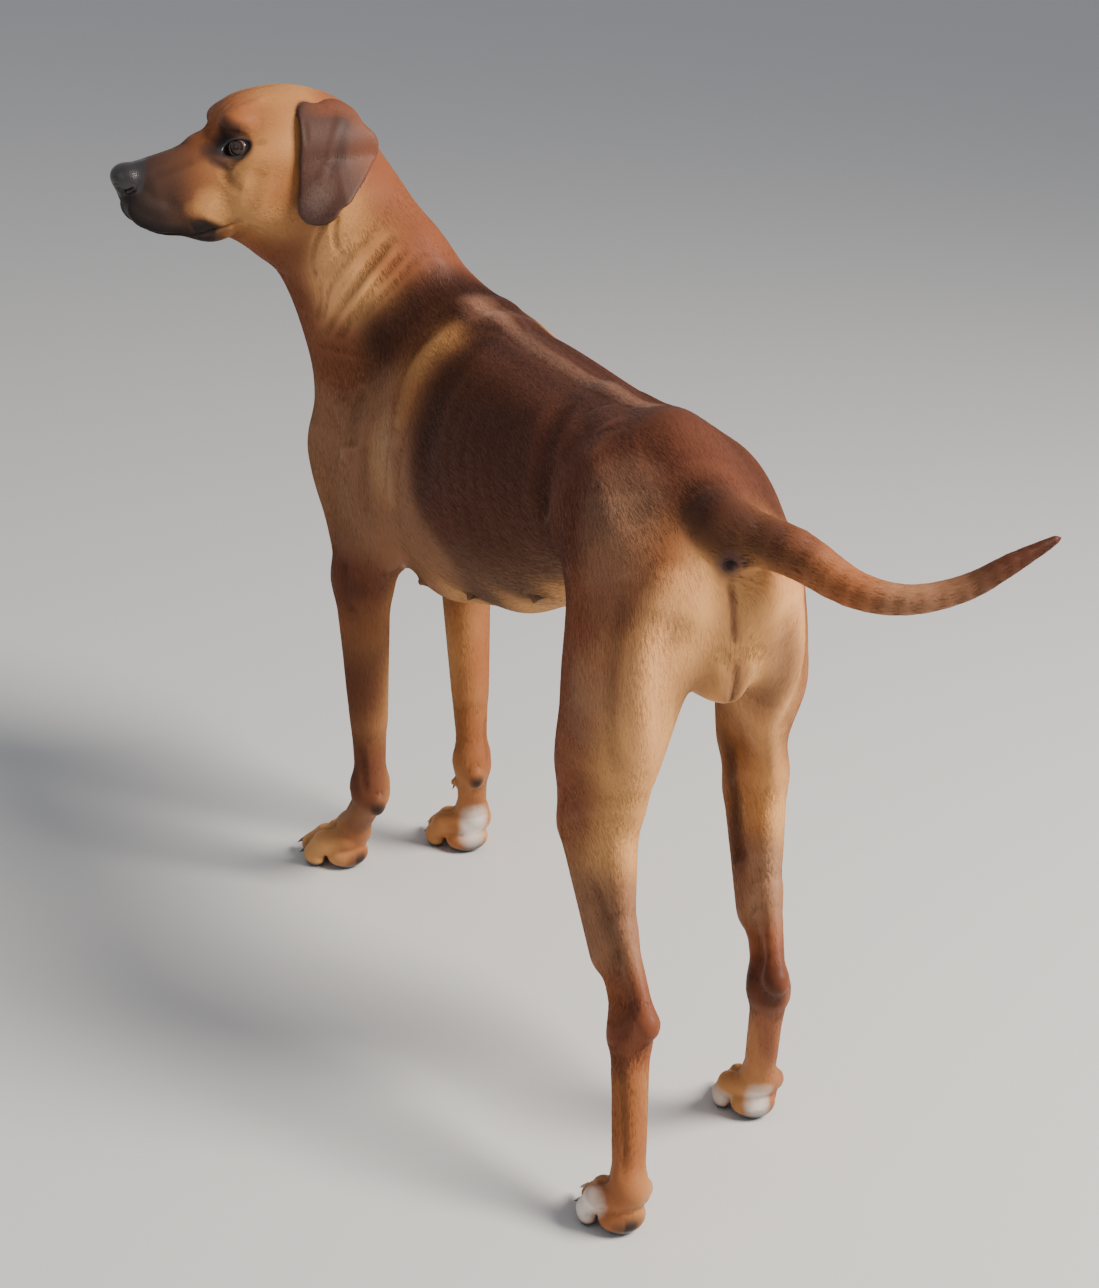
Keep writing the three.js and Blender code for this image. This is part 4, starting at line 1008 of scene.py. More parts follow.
def foot_marks():
    marks = []
    for leg in FORELEGS:
        elbow, wrist = of_leg(leg, "elbow wrist")
        marks += placed([
            (14, DARK, 0.5, [(elbow, 20, 20, -4)]),
            (11, PAD, 1, [(wrist, -2, 24, -16)]),  # carpal pad
        ], beside(leg))
    for leg in HINDLEGS:
        hock, heel = of_leg(leg, "hock heel")
        marks += placed([
            (13, MAHOGANY, 0.35, [(heel, 0, 10, 8), (heel, 0, 10, -10)]),
            (12, MAHOGANY, 0.6, [(hock, 14, 14, 40), (hock, 14, 10, 0), (hock, 10, 16, -24)]),
        ], beside(leg))
    marks += [(12, PAD, 1, [on_paw(*of_leg(leg, "knuckle toe"), -24, across, 8)
                            for across in (-9, 0, 9)]) for leg in FORELEGS + HINDLEGS]
    hock, right = of_leg(RIGHT_HIND, "hock knuckle")
    left, fore = LEFT_HIND["knuckle"], RIGHT_FORE["knuckle"]
    marks.append((17, DARK, 0.8, [(-62, 256, 337), (-67, 278, 271), (-64, 300, 240)]))
    return marks + placed([
        # painted shade on the inner side of the right hock, on this line and the next
        (18, DEEP, 0.8, [(hock, 14, -2, 16), (hock, 15, -4, -14)]),
        (18, DEEP, 0.7, [(hock, 12, 24, 34), (hock, 16, 29, 8), (hock, 12, 26, -14)]),
        (20, DUN, 0.6, [(hock, -1, -38, 104), (hock, 8, -20, 57)]),
        (10, CHESTNUT, 0.6, [(hock, 6, 14, -36), (right, 4, 20, 34)]),
        (17, WHITE, 0.9, [(left, 24, -12, -14), (left, 30, -26, -34)]),
        (14, WHITE, 0.8, [(right, 8, 24, -16), (right, 4, 24, -32)]),
        (13, WHITE, 0.7, [(right, 22, -20, -26), (right, 18, -36, -36)]),
        (19, WHITE, 0.95, [(fore, 4, 20, 2), (fore, 0, 22, -22)]),
    ], beside(LEFT_HIND))


def face_marks():
    both = [
        (5, RED, 0.35, [(28, 6, 9), (20, 12, 22), (10, 11, 36)]),
        (4, RED, 0.35, [(20, 19, 21), (10, 22, 34)]),
        (15, MASK, 1, [(23, 27, -4), (17, 29, 6), (12, 34, 19)]),  # round the eye
        (11, SOOT, 0.95, [(12, 34, 20), (-2, 40, 17)]),
        (9, SOOT, 0.45, [(10, 40, -20), (2, 46, -28)]),  # below it
        (9, SOOT, 0.9, [(28, 22, 2), (22, 27, -6), (20, 32, -14)]),
        (10, SOOT, 0.95, [(20, 30, -12), (8, 37, -14), (-12, 42, -4)]),
        (6, MASK, 0.8, [(22, 27, -3), (4, 36, -7), (-12, 41, 0), (2, 35, 9), (18, 28, 7)]),
        (5, SOOT, 0.4, [(-12, 42, 0), (-24, 46, -4)]),
        (11, MASK, 1, [(94, 16, -64), (76, 23, -76), (58, 26, -80)]),
        (16, MASK, 1, [(46, 29, -75), (36, 33, -72), (24, 31, -79)]),
        (12, MASK, 1, [(42, 24, -85), (24, 25, -87)]),
        (6, MASK, 0.6, [(16, 36, -70), (2, 38, -66)]),
        (10, GOLD, 0.6, [(46, 33, -54), (30, 36, -56)]),
        (18, TAN, 0.7, [(30, 35, -48), (16, 40, -56), (2, 44, -60)]),
        (7, MASK, 0.4, [(60, 29, -50), (66, 29, -46)]),
        (9, EAR_DARK, 0.75, [(-98, 60, 26), (-92, 66, 0), (-84, 68, -24)]),  # ear
        (14, CHESTNUT, 0.6, [(-76, 54, 46), (-104, 50, 36), (-124, 46, 14)]),
        # painted shadow along the ear's front edge
        (6, EAR_DARK, 0.5, [(-56, 60, 40), (-48, 66, 0), (-44, 66, -50)]),
        # painted sheen on the ear's tip
        (18, EAR_SHEEN, 0.5, [(-66, 68, -58), (-78, 66, -46)]),
    ]
    middle = [(5, RED, 0.45, [(24, 0, 14), (6, 0, 36), (-20, 0, 52)])]
    return placed(middle, in_head) + [mark for s in SIDES
                                      for mark in placed(both, on_side(in_head, s))]


def make_marks():
    """Every stroke of colour, laid on the skin, with its colour."""
    marks = [*body_marks(), *foot_marks(), *face_marks()]
    strokes = lay_on_skin([Stroke(places, reach, strength, 0.2, 1)
                           for reach, _, strength, places in marks])
    return [(stroke, tint) for stroke, (_, tint, _, _) in zip(strokes, marks)]


def pads_on_floor(points, normals):
    """Where the soles of the paws are."""
    return ease(9, 5, points[:, 2]) * ease(-0.1, -0.6, normals[:, 2])


def ear_share(points, side):
    """1 on a hanging ear, 0 off it."""
    place = in_head_axes(points)
    share = np.zeros(len(points))
    near = (place[:, 0] < -30) & (place[:, 0] > -145) & (place[:, 1] * side > 30)
    hung = Flap(side).distance(points[near])
    out = place[near, 1] * side - (44 - 0.3 * np.clip(place[near, 2] - 16, 0, 40))
    share[near] = ease(1.2, 0, hung) * ease(-3, 1, out)
    return share


def nose_leather(points):
    """1 on the bare nose, 0 off it."""
    place = in_head_axes(points)
    ahead = place[:, 0] + 0.35 * (place[:, 2] + 28)
    return (ease(87, 91, ahead) * ease(-46, -41, place[:, 2] - 0.25 * np.abs(place[:, 1]))
            * ease(24, 21, np.abs(place[:, 1])))


def lid_skin(points):
    """1 on the bare rims of the lids, 0 off them."""
    rim = np.zeros(len(points))
    for s in SIDES:
        offset = points - slit_centre(s)
        across, above = offset @ lid_line(s), offset @ np.cross(lid_line(s), eye_look(s))
        size = np.hypot(across / 14, above / 7.4)
        near = (offset * offset).sum(1) < 18 ** 2
        rim = np.maximum(rim, ease(1.42, 1.12, size) * near)
    return rim


def markings(points, normals, dark):
    """The coat's colour, painted shade and highlights too, and how bare each place is."""
    groups = [*trunk_colours(), *neck_colours(), *head_colours(), *leg_colours(), *tail_colours()]
    colour = spread(points, groups, 30)
    colour *= (1 + BLOTCH * blotches(points, 34) + 0.05 * blotches(points, 11))[:, None]
    for s in SIDES:
        colour = mixed(colour, EAR, ear_share(points, s))
    for stroke, tint in MARKS:
        colour = mixed(colour, tint, stroke.share(points) * stroke.amount)
    bare = np.zeros(len(points))
    for share, tint in ((pads_on_floor(points, normals), PAD), (nose_leather(points), MASK),
                        (lid_skin(points), MASK)):
        colour = mixed(colour, tint, share)
        bare = np.maximum(bare, share)
    # painted shade: the colour is darkened in the grooves of the relief
    return colour * (1 - 0.3 * dark[:, None]), bare


MARKS = make_marks()


# ---------------------------------------------------------------- pieces
def put(name, data):
    thing = bpy.data.objects.new(name, data)
    bpy.context.scene.collection.objects.link(thing)
    return thing


def add(name, mesh, *nodes, slot=None):
    """Puts a mesh, given in body millimetres, into the scene as a piece of the dog."""
    mesh.vertices.foreach_set("co", metres(points_of(mesh)).astype(np.float32).ravel())
    mesh.update()
    piece = put(name, mesh)
    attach(piece, "root")
    if nodes:
        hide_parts(*nodes)
    return piece


def smooth(mesh):
    mesh.polygons.foreach_set("use_smooth", np.ones(len(mesh.polygons), bool))


FLESH = ["trunk", "neck", "head", "nose", "tail", "ear_left", "ear_right",
         "foreleg_left", "foreleg_right", "hindleg_left", "hindleg_right",
         "forepaw_left", "forepaw_right", "hindpaw_left", "hindpaw_right"]


def paint(mesh, name, colours):
    layer = mesh.color_attributes.new(name, "FLOAT_COLOR", "POINT")
    full = np.ones((len(colours), 4), np.float32)
    full[:, :3] = colours
    layer.data.foreach_set("color", full.ravel())


def measure(mesh, name, values):
    layer = mesh.attributes.new(name, "FLOAT", "POINT")
    layer.data.foreach_set("value", values.astype(np.float32))


def teat_bumps(points):
    """The teats' own small cones."""
    height = np.zeros(len(points))
    for place in [way(*place) for way in (v, other_side) for place in TEATS]:
        away = np.linalg.norm(points - settle(place[None], -COAT_DEPTH, 5, 7), axis=1)
        height += 6 * ease(6, 0, away) + 1.5 * ease(18, 4, away)
    return height


def make_skin():
    points, faces = cast_skin()
    mesh = mesh_from("skin", points, faces.tolist())
    refine(mesh, [(in_head(-4, s * 36, 0), 30) for s in SIDES] + [(in_head(96, 0, -40), 34)])
    refine(mesh, [(in_head(2, s * 38, 0), 17) for s in SIDES])
    points, normals = points_of(mesh), normals_of(mesh)
    # dark is the painted shade in the grooves, which markings lays on the colour
    height, dark = relief_at(points)
    height = (height + teat_bumps(points)) * ease(2, 12, points[:, 2])
    points = points + normals * height[:, None]
    mesh.vertices.foreach_set("co", points.ravel())
    mesh.update()
    smooth(mesh)
    colour, bare = markings(points, normals, dark)
    paint(mesh, "coat", colour)
    measure(mesh, "bare", bare)
    mesh.materials.append(coat_material("coat_skin"))
    body = Body(mesh, colour, bare)
    add("skin", mesh, *FLESH, slot="coat")
    return body


# ---------------------------------------------------------------- the coat
class Body:
    """The finished skin as triangles that tufts are rooted on."""

    def __init__(self, mesh, colour, bare):
        mesh.calc_loop_triangles()
        corners = np.empty(len(mesh.loop_triangles) * 3, np.int32)
        mesh.loop_triangles.foreach_get("vertices", corners)
        self.triangles = corners.reshape(-1, 3)
        self.points, self.normals = points_of(mesh), normals_of(mesh)
        self.colour, self.bare = colour, bare
        self.way = lie_at(self.points, self.normals)
        self.tree = BVHTree.FromPolygons(self.points.tolist(), self.triangles.tolist())
        a, b, c = (self.points[self.triangles[:, i]] for i in range(3))
        self.middle = (a + b + c) / 3
        self.area = np.linalg.norm(np.cross(b - a, c - a), axis=1) / 2
        self.area *= np.clip(1 - self.bare[self.triangles].max(1) * 1.6, 0, 1)
        self.area *= self.middle[:, 2] > 4

    def scatter(self, chosen, density, random):
        """Roots spread evenly over the chosen triangles: place, normal, way and colour of each."""
        share = np.cumsum(self.area * chosen)
        count = min(int(share[-1] * density), MOST_TUFTS)
        pick = np.searchsorted(share, (np.arange(count) + random.random(count)) / count * share[-1])
        corner = self.triangles[np.minimum(pick, len(share) - 1)]
        a, b = random.random(count), random.random(count)
        a, b = np.where(a + b > 1, 1 - a, a), np.where(a + b > 1, 1 - b, b)
        part = np.stack([1 - a - b, a, b], -1)[..., None]
        return [(values[corner] * part).sum(1)
                for values in (self.points, self.normals, self.way, self.colour)]

    def nearest(self, points):
        """The nearest place on the skin to each point."""
        return np.array([self.tree.find_nearest(Vector(point))[0] for point in points.tolist()])


def lie_of_trunk():
    """Which way the coat lies at places on the trunk and neck, for the dog's left side."""
    both = [
        ((20, -190, 640), (0.1, 1, -0.3)), ((40, -120, 610), (0.15, 1, -0.1)),
        ((40, 0, 605), (0.1, 1, -0.05)), ((30, 120, 600), (0.1, 1, 0)),
        ((20, 250, 600), (0.1, 1, 0)), ((100, -50, 540), (0, 1, -0.35)),
        ((105, -30, 470), (0, 1, -0.5)), ((85, 100, 540), (0, 1, -0.4)),
        ((80, 120, 460), (0, 0.9, -0.5)), ((60, 0, 410), (-0.2, 1, -0.2)),
        ((10, 0, 385), (-0.1, 1, 0.1)), ((20, -200, 360), (0, 1, 0)),
        ((120, -200, 500), (0.05, 0.35, -1)), ((112, -150, 420), (0, 0.4, -1)),
        ((110, -120, 500), (0, 0.8, -0.8)), ((60, -310, 470), (-0.2, 0, -1)),
        ((95, -300, 500), (0.1, 0.4, -1)), ((90, 250, 520), (0.1, 0.7, -0.7)),
        ((98, 300, 440), (0, 0.45, -1)), ((95, 260, 380), (0, 0.3, -1)),
        ((80, 350, 430), (-0.2, 0.1, -1)), ((60, 360, 500), (-0.1, 0.4, -1)),
        ((20, 350, 560), (0, 1, -0.3)), ((40, 366, 480), (-0.4, 0.1, -0.9)),
        ((10, 366, 440), (-0.1, 0, -1)), ((50, 280, 420), (-0.2, 0.4, -1)),
    ]
    one = [
        ((60, -220, 665), (-0.5, 0.75, -0.45)), ((100, -225, 670), (-0.35, 0.5, -0.8)),
        ((125, -240, 620), (-0.2, 0.35, -1)), ((120, -220, 570), (-0.1, 0.35, -1)),
        ((140, -300, 620), (-0.2, 0.1, -1)), ((110, -350, 590), (-0.3, 0.1, -1)),
        ((60, -350, 620), (-0.5, 0.3, -0.8)), ((20, -290, 610), (-0.3, 0.5, -0.8)),
        ((20, -320, 520), (-0.1, 0.2, -1)), ((80, -340, 520), (-0.1, 0, -1)),
    ]
    return ([(v(*place), v(*way)) for place, way in both + one]
            + [(other_side(*place), v(*way) * v(-1, 1, 1)) for place, way in both])


def lie_of_head():
    """The same for the head, on both sides."""
    both = [
        ((100, 12, -50), (-0.6, 0.2, -0.5)), ((80, 20, -30), (-1, 0.3, -0.2)),
        ((60, 8, -4), (-1, 0.3, 0.2)), ((30, 6, 4), (-0.8, 0.2, 0.6)),
        ((0, 12, 38), (-0.9, 0.2, 0.4)), ((-40, 12, 56), (-1, 0.2, 0.1)),
        ((-90, 10, 44), (-1, 0, -0.3)), ((4, 32, 30), (-0.8, 0.5, 0.3)),
        ((-20, 44, 14), (-1, 0.1, -0.1)), ((10, 42, -30), (-1, 0.2, -0.3)),
        ((-10, 54, -40), (-1, 0.1, -0.4)), ((-30, 56, -60), (-0.9, 0, -0.6)),
        ((40, 30, -50), (-1, 0.2, -0.1)), ((40, 24, -84), (-1, 0, -0.2)),
        ((-20, 20, -104), (-0.9, 0, -0.4)), ((-60, 50, -60), (-0.8, 0, -0.7)),
        ((-80, 58, 40), (0.1, 0.3, -1)), ((-66, 66, 0), (0.2, 0, -1)),
        ((-60, 68, -40), (0.15, 0, -1)), ((-100, 62, -10), (0.5, 0, -1)),
        ((-120, 50, 0), (0.6, 0, -0.8)),
    ]
    return [(in_head(x, s * y, z), head_way(a, s * b, c))
            for (x, y, z), (a, b, c) in both for s in SIDES]


def lie_of_limbs():
    """Down each leg and along each toe and the tail."""
    marks = []
    for leg in FORELEGS + HINDLEGS:
        knuckle, toe = leg["knuckle"], unit(leg["toe"])
        top, joint = of_leg(leg, "elbow wrist" if "wrist" in leg else "knee hock")
        for around in (v(20, 0, 0), v(-20, 0, 0), v(0, 20, 0), v(0, -20, 0)):
            down = unit(joint - top) + v(0, 0.15, 0)
            marks += [(top + around, down), ((top + joint) / 2 + around, down),
                      (joint + around, unit(knuckle - joint)),
                      ((joint + knuckle) / 2 + around, unit(knuckle - joint)),
                      (knuckle + around, toe * 0.6 + v(0, 0, -0.7))]
        marks.append((knuckle + toe * 36, toe + v(0, 0, -0.6)))
    line = [v(*place) for place in TAIL_LINE]
    marks += [((a + b) / 2 + around, unit(b - a)) for a, b in zip(line, line[1:])
              for around in (v(0, 0, 14), v(0, 0, -14))]
    marks += [(line[-1], unit(line[-1] - line[-2]))] * 2
    return marks


def ridge_share(points):
    """1 on the strip of hair that grows forward, 0 off it, and the way across from its middle."""
    line = np.array(RIDGE_LINE, float)
    middle = np.interp(points[:, 1], line[:, 1], line[:, 0])
    top = np.interp(points[:, 1], line[:, 1], line[:, 2])
    width = np.interp(points[:, 1], (-150, -125, -90, -60, 205), (10, 24, 22, 13, 6))
    across = points[:, 0] - middle
    start, end = line[0, 1], line[-1, 1]
    share = (ease(1, 0.75, np.abs(across) / width) * ease(start - 4, start + 6, points[:, 1])
             * ease(end, end - 14, points[:, 1]) * ease(26, 16, np.abs(points[:, 2] - top)))
    return share, across


CROWNS = ((-8, -106), (30, -124))  # the two whorls at the front of the ridge


def lie_at(points, normals):
    """The way that the coat lies, along the skin."""
    marks = [*lie_of_trunk(), *lie_of_head(), *lie_of_limbs()]
    way = spread(points, [(unit(lie), [place]) for place, lie in marks], 24)
    share, across = ridge_share(points)
    forward = np.stack([-0.02 * across, -np.ones(len(points)), np.zeros(len(points))], -1)
    way = mixed(way, forward, share)
    for x, y in CROWNS:
        out = np.stack([points[:, 0] - x, points[:, 1] - y, np.zeros(len(points))], -1)
        reach = np.linalg.norm(out, axis=1)
        whorl = out / np.maximum(reach, 1e-6)[:, None]
        whorl = whorl + 0.7 * np.stack([-whorl[:, 1], whorl[:, 0], whorl[:, 2]], -1)
        way = mixed(way, whorl, ease(15, 8, reach) * (points[:, 2] > 590))
    return straight(way - normals * (way * normals).sum(1)[:, None])


def on_head(points):
    """In front of a plane from the nape to the throat."""
    place = in_head_axes(points)
    return (place[:, 0] + 142) * 0.65 + (place[:, 2] + 35) * 0.76 > 0


def on_ear(points, side):
    """On the outer face of a hanging ear."""
    place = in_head_axes(points)
    hung = Flap(side).distance(points) < 1.5
    return hung & (place[:, 1] * side > 46 - 0.35 * np.clip(place[:, 2] - 20, 0, 40))


def on_neck(points):
    return ~on_head(points) & ((points - v(20, -212, 585)) @ v(0.42, -0.5, 0.76) > 0)


def on_tail(points):
    return (points[:, 1] > 372) & (points[:, 2] > 500)


def on_foreleg(points, side):
    return (points[:, 2] < 352) & (points[:, 1] < -120) & ((points[:, 0] > 32) == (side > 0))


def on_hindleg(points, side):
    return (points[:, 2] < 420) & (points[:, 1] > 180) & ((points[:, 0] > -6) == (side > 0))


def on_trunk(points, side, rear):
    away = on_head(points) | on_neck(points) | on_tail(points)
    for s in SIDES:
        away |= on_foreleg(points, s) | on_hindleg(points, s)
    middle = np.interp(points[:, 1], MID_BACK, MID_SIDE)
    return ~away & ((points[:, 0] > middle) == (side > 0)) & ((points[:, 1] > 60) == rear)


def round_axis(base, axis, top):
    """An unwrap of the skin: the angle about an axis and the place along it."""
    axis = unit(axis)
    side = unit(np.cross(axis, top))
    above = np.cross(side, axis)

    def lay(points, normals):
        out = points - base + 25 * normals
        return np.stack([np.arctan2(out @ side, out @ above), (points - base) @ axis], -1)
    return lay


def flat_on(one, two):
    """An unwrap of a thin sheet, flat on its own two ways."""
    return lambda points, normals: np.stack([points @ one, points @ two], -1)


def coat_parts():
    """The coat's pieces: name, skin it covers, length and density of its tufts, and unwrap."""
    up, back = v(0, 0, 1), v(0, 1, 0)
    parts = [
        ("head", lambda p: on_head(p) & ~on_ear(p, 1) & ~on_ear(p, -1), 3.8, 0.5,
         round_axis(in_head(-40, 0, -20), FORWARD, UP)),
        ("neck", on_neck, 7.5, 0.3, round_axis(v(62, -280, 600), v(0.42, -0.5, 0.76), back)),
        ("tail", on_tail, 7, 0.36, round_axis(v(-60, 420, 535), v(-0.85, 0.5, 0.1), up)),
    ]
    for side, name in ((1, "left"), (-1, "right")):
        fore, hind = (LEFT_FORE, LEFT_HIND) if side > 0 else (RIGHT_FORE, RIGHT_HIND)
        parts += [
            (f"ear_{name}", lambda p, s=side: on_head(p) & on_ear(p, s), 3.8, 0.55,
             flat_on(FORWARD, UP)),
            (f"foreleg_{name}", lambda p, s=side: on_foreleg(p, s), 5.6, 0.36,
             round_axis(fore["wrist"] * v(1, 1, 0), up, back)),
            (f"hindleg_{name}", lambda p, s=side: on_hindleg(p, s), 6.4, 0.34,
             round_axis((hind["knee"] + hind["hock"]) / 2 * v(1, 1, 0), up, back)),
            (f"front_{name}", lambda p, s=side: on_trunk(p, s, False), 8.2, 0.27,
             round_axis(v(12, -100, 490), back, up)),
            (f"rear_{name}", lambda p, s=side: on_trunk(p, s, True), 8.2, 0.27,
             round_axis(v(0, 200, 510), back, up)),
        ]
    return parts


MOST_TUFTS = 48000
TUFT_WIDTH, TUFT_HEIGHT, TUFT_LIFT = 0.1, 0.025, 0.028  # as shares of its length
PATCH, MAP_EDGE = 0.003, 0.004  # a tuft's patch on the coat's map, and the map's free edge
TUFT_SHADE = (0.82, 0.82, 0.96, 1.02)  # of its corners: roots darkest, tip brightest, painted shade down in the coat
TUFT_FACES = ((0, 2, 1), (0, 3, 2), (2, 3, 1), (1, 3, 0))  # left root, right root, keel, tip


def tuft_sizes(roots, length, random):
    """How long each tuft is: shortest on the muzzle, the toes and the ridge's edge."""
    size = length * (0.7 + 0.6 * random.random(len(roots)))
    place = in_head_axes(roots)
    muzzle = ease(0, 80, place[:, 0]) * (np.abs(place[:, 1]) < 60) * (roots[:, 2] > 600)
    feet = ease(110, 30, roots[:, 2])
    return size * (1 - 0.5 * muzzle) * (1 - 0.42 * feet)


def make_coat(body, material, name, covers, length, density, unwrap, random):
    """One piece of the coat: tufts rooted on the skin, with their tips laid along it."""
    roots, normals, ways, colours = body.scatter(covers(body.middle), density, random)
    count = len(roots)
    normals = straight(normals)
    ways = straight(ways + 0.16 * random.standard_normal((count, 3)))
    ways = straight(ways - normals * (ways * normals).sum(1)[:, None])
    sides = np.cross(normals, ways)
    size = tuft_sizes(roots, length, random)[:, None]
    tips = body.nearest(roots + ways * size)
    tips = tips + normals * size * TUFT_LIFT * random.random((count, 1))
    wide = sides * size * TUFT_WIDTH * (0.7 + 0.6 * random.random((count, 1))) / 2
    corners = np.stack([roots - wide - normals * 0.25, roots + wide - normals * 0.25,
                        roots + (tips - roots) * 0.35 + normals * (size * TUFT_HEIGHT),
                        tips], 1)
    corners[..., 2] = np.maximum(corners[..., 2], 0.5)
    faces = np.arange(count)[:, None, None] * 4 + np.array(TUFT_FACES)
    mesh = mesh_from("coat_" + name, corners.reshape(-1, 3), faces.reshape(-1, 3).tolist())
    tone = 1 + 0.15 * random.standard_normal(count).clip(-2, 2)
    tone = (tone[:, None] * TUFT_SHADE)[..., None]
    paint(mesh, "coat", (colours[:, None] * tone).reshape(-1, 3))
    measure(mesh, "bare", np.zeros(count * 4))
    map_coat(mesh, unwrap(roots, normals))
    smooth(mesh)
    lean = straight(normals + 0.1 * random.standard_normal((count, 3)))
    mesh.normals_split_custom_set_from_vertices(np.repeat(lean, 4, 0).tolist())
    mesh.materials.append(material)
    add("coat_" + name, mesh, slot="coat")


def map_coat(mesh, places):
    """Writes the map OFBake: each tuft is a small patch at its root's place on the unwrap."""
    low, high = places.min(0), places.max(0)
    share = MAP_EDGE + (1 - 2 * MAP_EDGE) * (places - low) / (high - low)
    patch = PATCH * np.array(((-0.5, -0.5), (0.5, -0.5), (0, 0), (0, 0.5)))
    layout = share[:, None] + patch
    corner = np.empty(len(mesh.loops), np.int32)
    mesh.loops.foreach_get("vertex_index", corner)
    layer = mesh.uv_layers.new(name="OFBake")
    layer.data.foreach_set("uv", layout.reshape(-1, 2)[corner].astype(np.float32).ravel())


def make_coats(body):
    material = coat_material("coat_hair")
    for number, (name, covers, length, density, unwrap) in enumerate(coat_parts()):
        random = np.random.default_rng(SEED + number)
        make_coat(body, material, name, covers, length, density, unwrap, random)


# ---------------------------------------------------------------- eyes
IRIS, PUPIL, BULGE = 6.4, 3.0, 0.2
EYE_CELLS = (56, 72)  # from pole to pole, and round
EYE_BROWN, EYE_AMBER, EYE_RIM, EYE_WHITE = map(shade, ("2e1a10", "55331c", "0c0908", "7c6458"))


def make_eye(side, name, material):
    """An eyeball: pupil, iris, dark ring and white round its look, with a bulging cornea."""
    centre, look = eye_centre(side), eye_look(side)
    across = lid_line(side)
    above = np.cross(look, across)
    rings, turns = EYE_CELLS
    angle = np.linspace(0, np.pi, rings + 1)[1:-1]
    around = np.arange(turns) * 2 * np.pi / turns
    way = (np.cos(angle)[:, None, None] * look + np.sin(angle)[:, None, None]
           * (np.cos(around)[:, None] * across + np.sin(around)[:, None] * above))
    cornea = ease(IRIS * 1.15, 0, EYE_RADIUS * np.sin(angle)) * (angle < np.pi / 2)
    reach = EYE_RADIUS + BULGE * cornea
    points = centre + way * reach[:, None, None]
    points = np.vstack([points.reshape(-1, 3), centre + look * (EYE_RADIUS + BULGE),
                        centre - look * EYE_RADIUS])
    faces = [(i * turns + j, (i + 1) * turns + j, (i + 1) * turns + (j + 1) % turns,
              i * turns + (j + 1) % turns) for i in range(rings - 2) for j in range(turns)]
    tip, tail, last = len(points) - 2, len(points) - 1, (rings - 2) * turns
    faces += [(tip, j, (j + 1) % turns) for j in range(turns)]
    faces += [(last + (j + 1) % turns, last + j, tail) for j in range(turns)]
    mesh = mesh_from(name, points, faces)
    smooth(mesh)
    out = points - centre
    away = np.linalg.norm(out - np.outer(out @ look, look), axis=1) + FAR * (out @ look < 0)
    spin = np.arctan2(out @ above, out @ across)
    streak = (0.5 + 0.5 * np.sin(spin * 41 + 3 * np.sin(spin * 7)))[:, None]
    colour = EYE_BROWN * (1 - streak * 0.6) + EYE_AMBER * streak * 0.6
    for tint, share in ((EYE_AMBER, 0.2 * ease(IRIS * 0.8, PUPIL * 1.1, away)),
                        (EYE_RIM, ease(PUPIL + 0.3, PUPIL - 0.1, away)),
                        (EYE_RIM, 0.9 * ease(IRIS - 2.4, IRIS, away)),
                        (EYE_WHITE, ease(IRIS + 0.1, IRIS + 1.4, away))):
        colour = mixed(colour, tint, share)
    paint(mesh, "coat", colour)
    mesh.materials.append(material)
    add(name, mesh, name.replace("eyeball", "eye"), slot="eye")


# ---------------------------------------------------------------- materials
def put_in(node, values):
    for name, value in values.items():
        node.inputs[name].default_value = value


class Shader:
    """A material's nodes. Each node that is added gets its values and its links, by socket."""

    def __init__(self, name):
        self.material = bpy.data.materials.new(name)
        self.material.use_nodes = True
        self.tree = self.material.node_tree
        self.surface = self.tree.nodes["Principled BSDF"]

    def add(self, kind, values=(), **links):
        node = self.tree.nodes.new("ShaderNode" + kind)
        put_in(node, dict(values))
        for socket, source in links.items():
            self.tree.links.new(source, node.inputs[socket])
        return node

    def attribute(self, name, output):
        node = self.add("Attribute")
        node.attribute_name = name
        return node.outputs[output]

    def drive(self, name, source):
        self.tree.links.new(source, self.surface.inputs[name])

    def between(self, low, high, share):
        return self.add("MapRange", {"To Min": low, "To Max": high}, Value=share).outputs["Result"]

    def bump(self, height, depth, strength):
        node = self.add("Bump", {"Strength": strength, "Distance": depth}, Height=height)
        self.drive("Normal", node.outputs["Normal"])


def coat_material(name):
    """Short glossy hair, and leather where the skin is bare."""
    shader = Shader(name)
    shader.drive("Base Color", shader.attribute("coat", "Color"))
    bare = shader.attribute("bare", "Fac")
    shader.drive("Roughness", shader.between(0.5, 0.32, bare))
    shader.drive("Specular IOR Level", shader.between(0.15, 0.75, bare))
    put_in(shader.surface, {"Sheen Weight": 0.03, "Sheen Roughness": 0.4,
                            "Sheen Tint": (1, 0.78, 0.6, 1)})
    place = shader.add("TexCoord").outputs["Object"]
    hair = shader.add("TexNoise", {"Scale": 700, "Detail": 3}, Vector=place)
    leather = shader.add("TexVoronoi", {"Scale": 900}, Vector=place)
    mix = shader.add("Mix", Factor=bare, A=hair.outputs["Fac"], B=leather.outputs["Distance"])
    shader.bump(mix.outputs["Result"], 0.0006, 0.35)
    return shader.material


def eye_material():
    shader = Shader("eye_gloss")
    shader.drive("Base Color", shader.attribute("coat", "Color"))
    put_in(shader.surface, {"Roughness": 0.12, "Specular IOR Level": 0.1, "Coat Weight": 1,
                            "Coat Roughness": 0.02})
    return shader.material


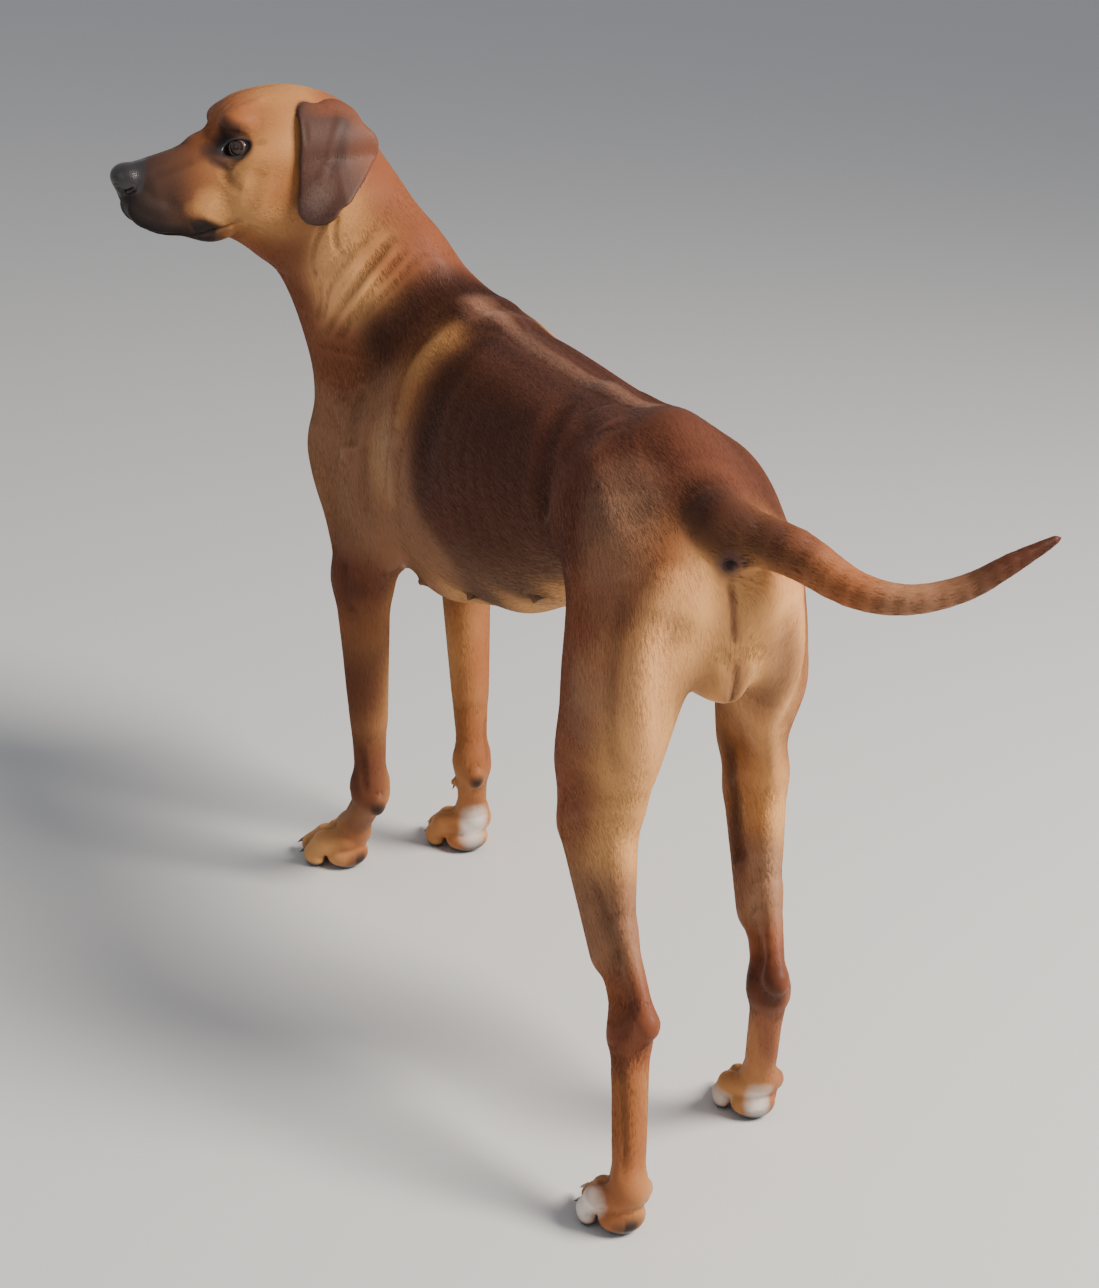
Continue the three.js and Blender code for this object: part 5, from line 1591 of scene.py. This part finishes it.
def claw_material():
    """Dark horn, lighter along its grain."""
    shader = Shader("horn")
    grain = shader.add("TexNoise", {"Scale": 260}, Vector=shader.add("TexCoord").outputs["Object"])
    ramp = shader.add("ValToRGB", Fac=grain.outputs["Fac"])
    for stop, tint in zip(ramp.color_ramp.elements, ("1f1817", "5a4a42")):
        stop.color = (*shade(tint), 1)
    shader.drive("Base Color", ramp.outputs["Color"])
    put_in(shader.surface, {"Roughness": 0.32})
    shader.bump(grain.outputs["Fac"], 0.0003, 0.4)
    return shader.material


def dress_claws():
    horn = claw_material()
    for name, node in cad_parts.items():
        if "claw" in name:
            node.data.materials.clear()
            node.data.materials.append(horn)


# ---------------------------------------------------------------- stage
def stand(turn, place):
    """The matrix of a thing from its axes, as columns, and its place."""
    matrix = np.eye(4)
    matrix[:3, :3], matrix[:3, 3] = turn, place
    return Matrix(matrix.tolist())


def make_camera():
    """The photograph's view: where it stands, and its right, up and back."""
    lens = bpy.data.cameras.new("camera")
    lens.sensor_fit = "VERTICAL"
    lens.sensor_height, lens.lens = 36, 65.49
    camera = put("camera", lens)
    turn = np.array(((-0.91801, -0.07324, 0.38972), (0.39024, -0.34138, 0.85509),
                     (0.07042, 0.93707, 0.34197)))
    camera.matrix_world = stand(turn, metres(v(844.56, 1872.01, 1083.42)))
    bpy.context.scene.camera = camera


def make_floor():
    """A plain grey floor, which is not a piece of the dog."""
    reach = 30  # metres to each side
    corners = v(-reach, -reach, 0), v(reach, -reach, 0), v(reach, reach, 0), v(-reach, reach, 0)
    mesh = mesh_from("floor", np.stack(corners), [(0, 1, 2, 3)])
    ground = Shader("floor")
    put_in(ground.surface, {"Base Color": (0.62, 0.61, 0.59, 1), "Roughness": 0.9})
    mesh.materials.append(ground.material)
    put("floor", mesh)


def make_light(name, place, aim, size, power, colour):
    lamp = bpy.data.lights.new(name, "AREA")
    lamp.shape, lamp.size, lamp.energy, lamp.color = "DISK", size, power, colour
    back = unit(v(*place) - v(*aim))
    right = unit(np.cross(v(0, 0, 1), back))
    put(name, lamp).matrix_world = stand(np.stack([right, np.cross(back, right), back], 1), place)


def make_studio():
    world = bpy.data.worlds.new("studio")
    world.use_nodes = True
    put_in(world.node_tree.nodes["Background"], {"Color": (0.86, 0.9, 1, 1), "Strength": 0.42})
    bpy.context.scene.world = world
    make_light("key", (-2.0, 1.9, 2.9), (0, 0, 0.4), 1.7, 300, (1, 0.94, 0.86))
    make_light("fill", (3, 1.2, 1.8), (0, 0, 0.4), 2.5, 10, (0.9, 0.95, 1))


make_camera()
make_floor()
make_studio()
body = make_skin()
make_coats(body)
wet = eye_material()
for side, name in zip(SIDES, ("eyeball_left", "eyeball_right")):
    make_eye(side, name, wet)
dress_claws()
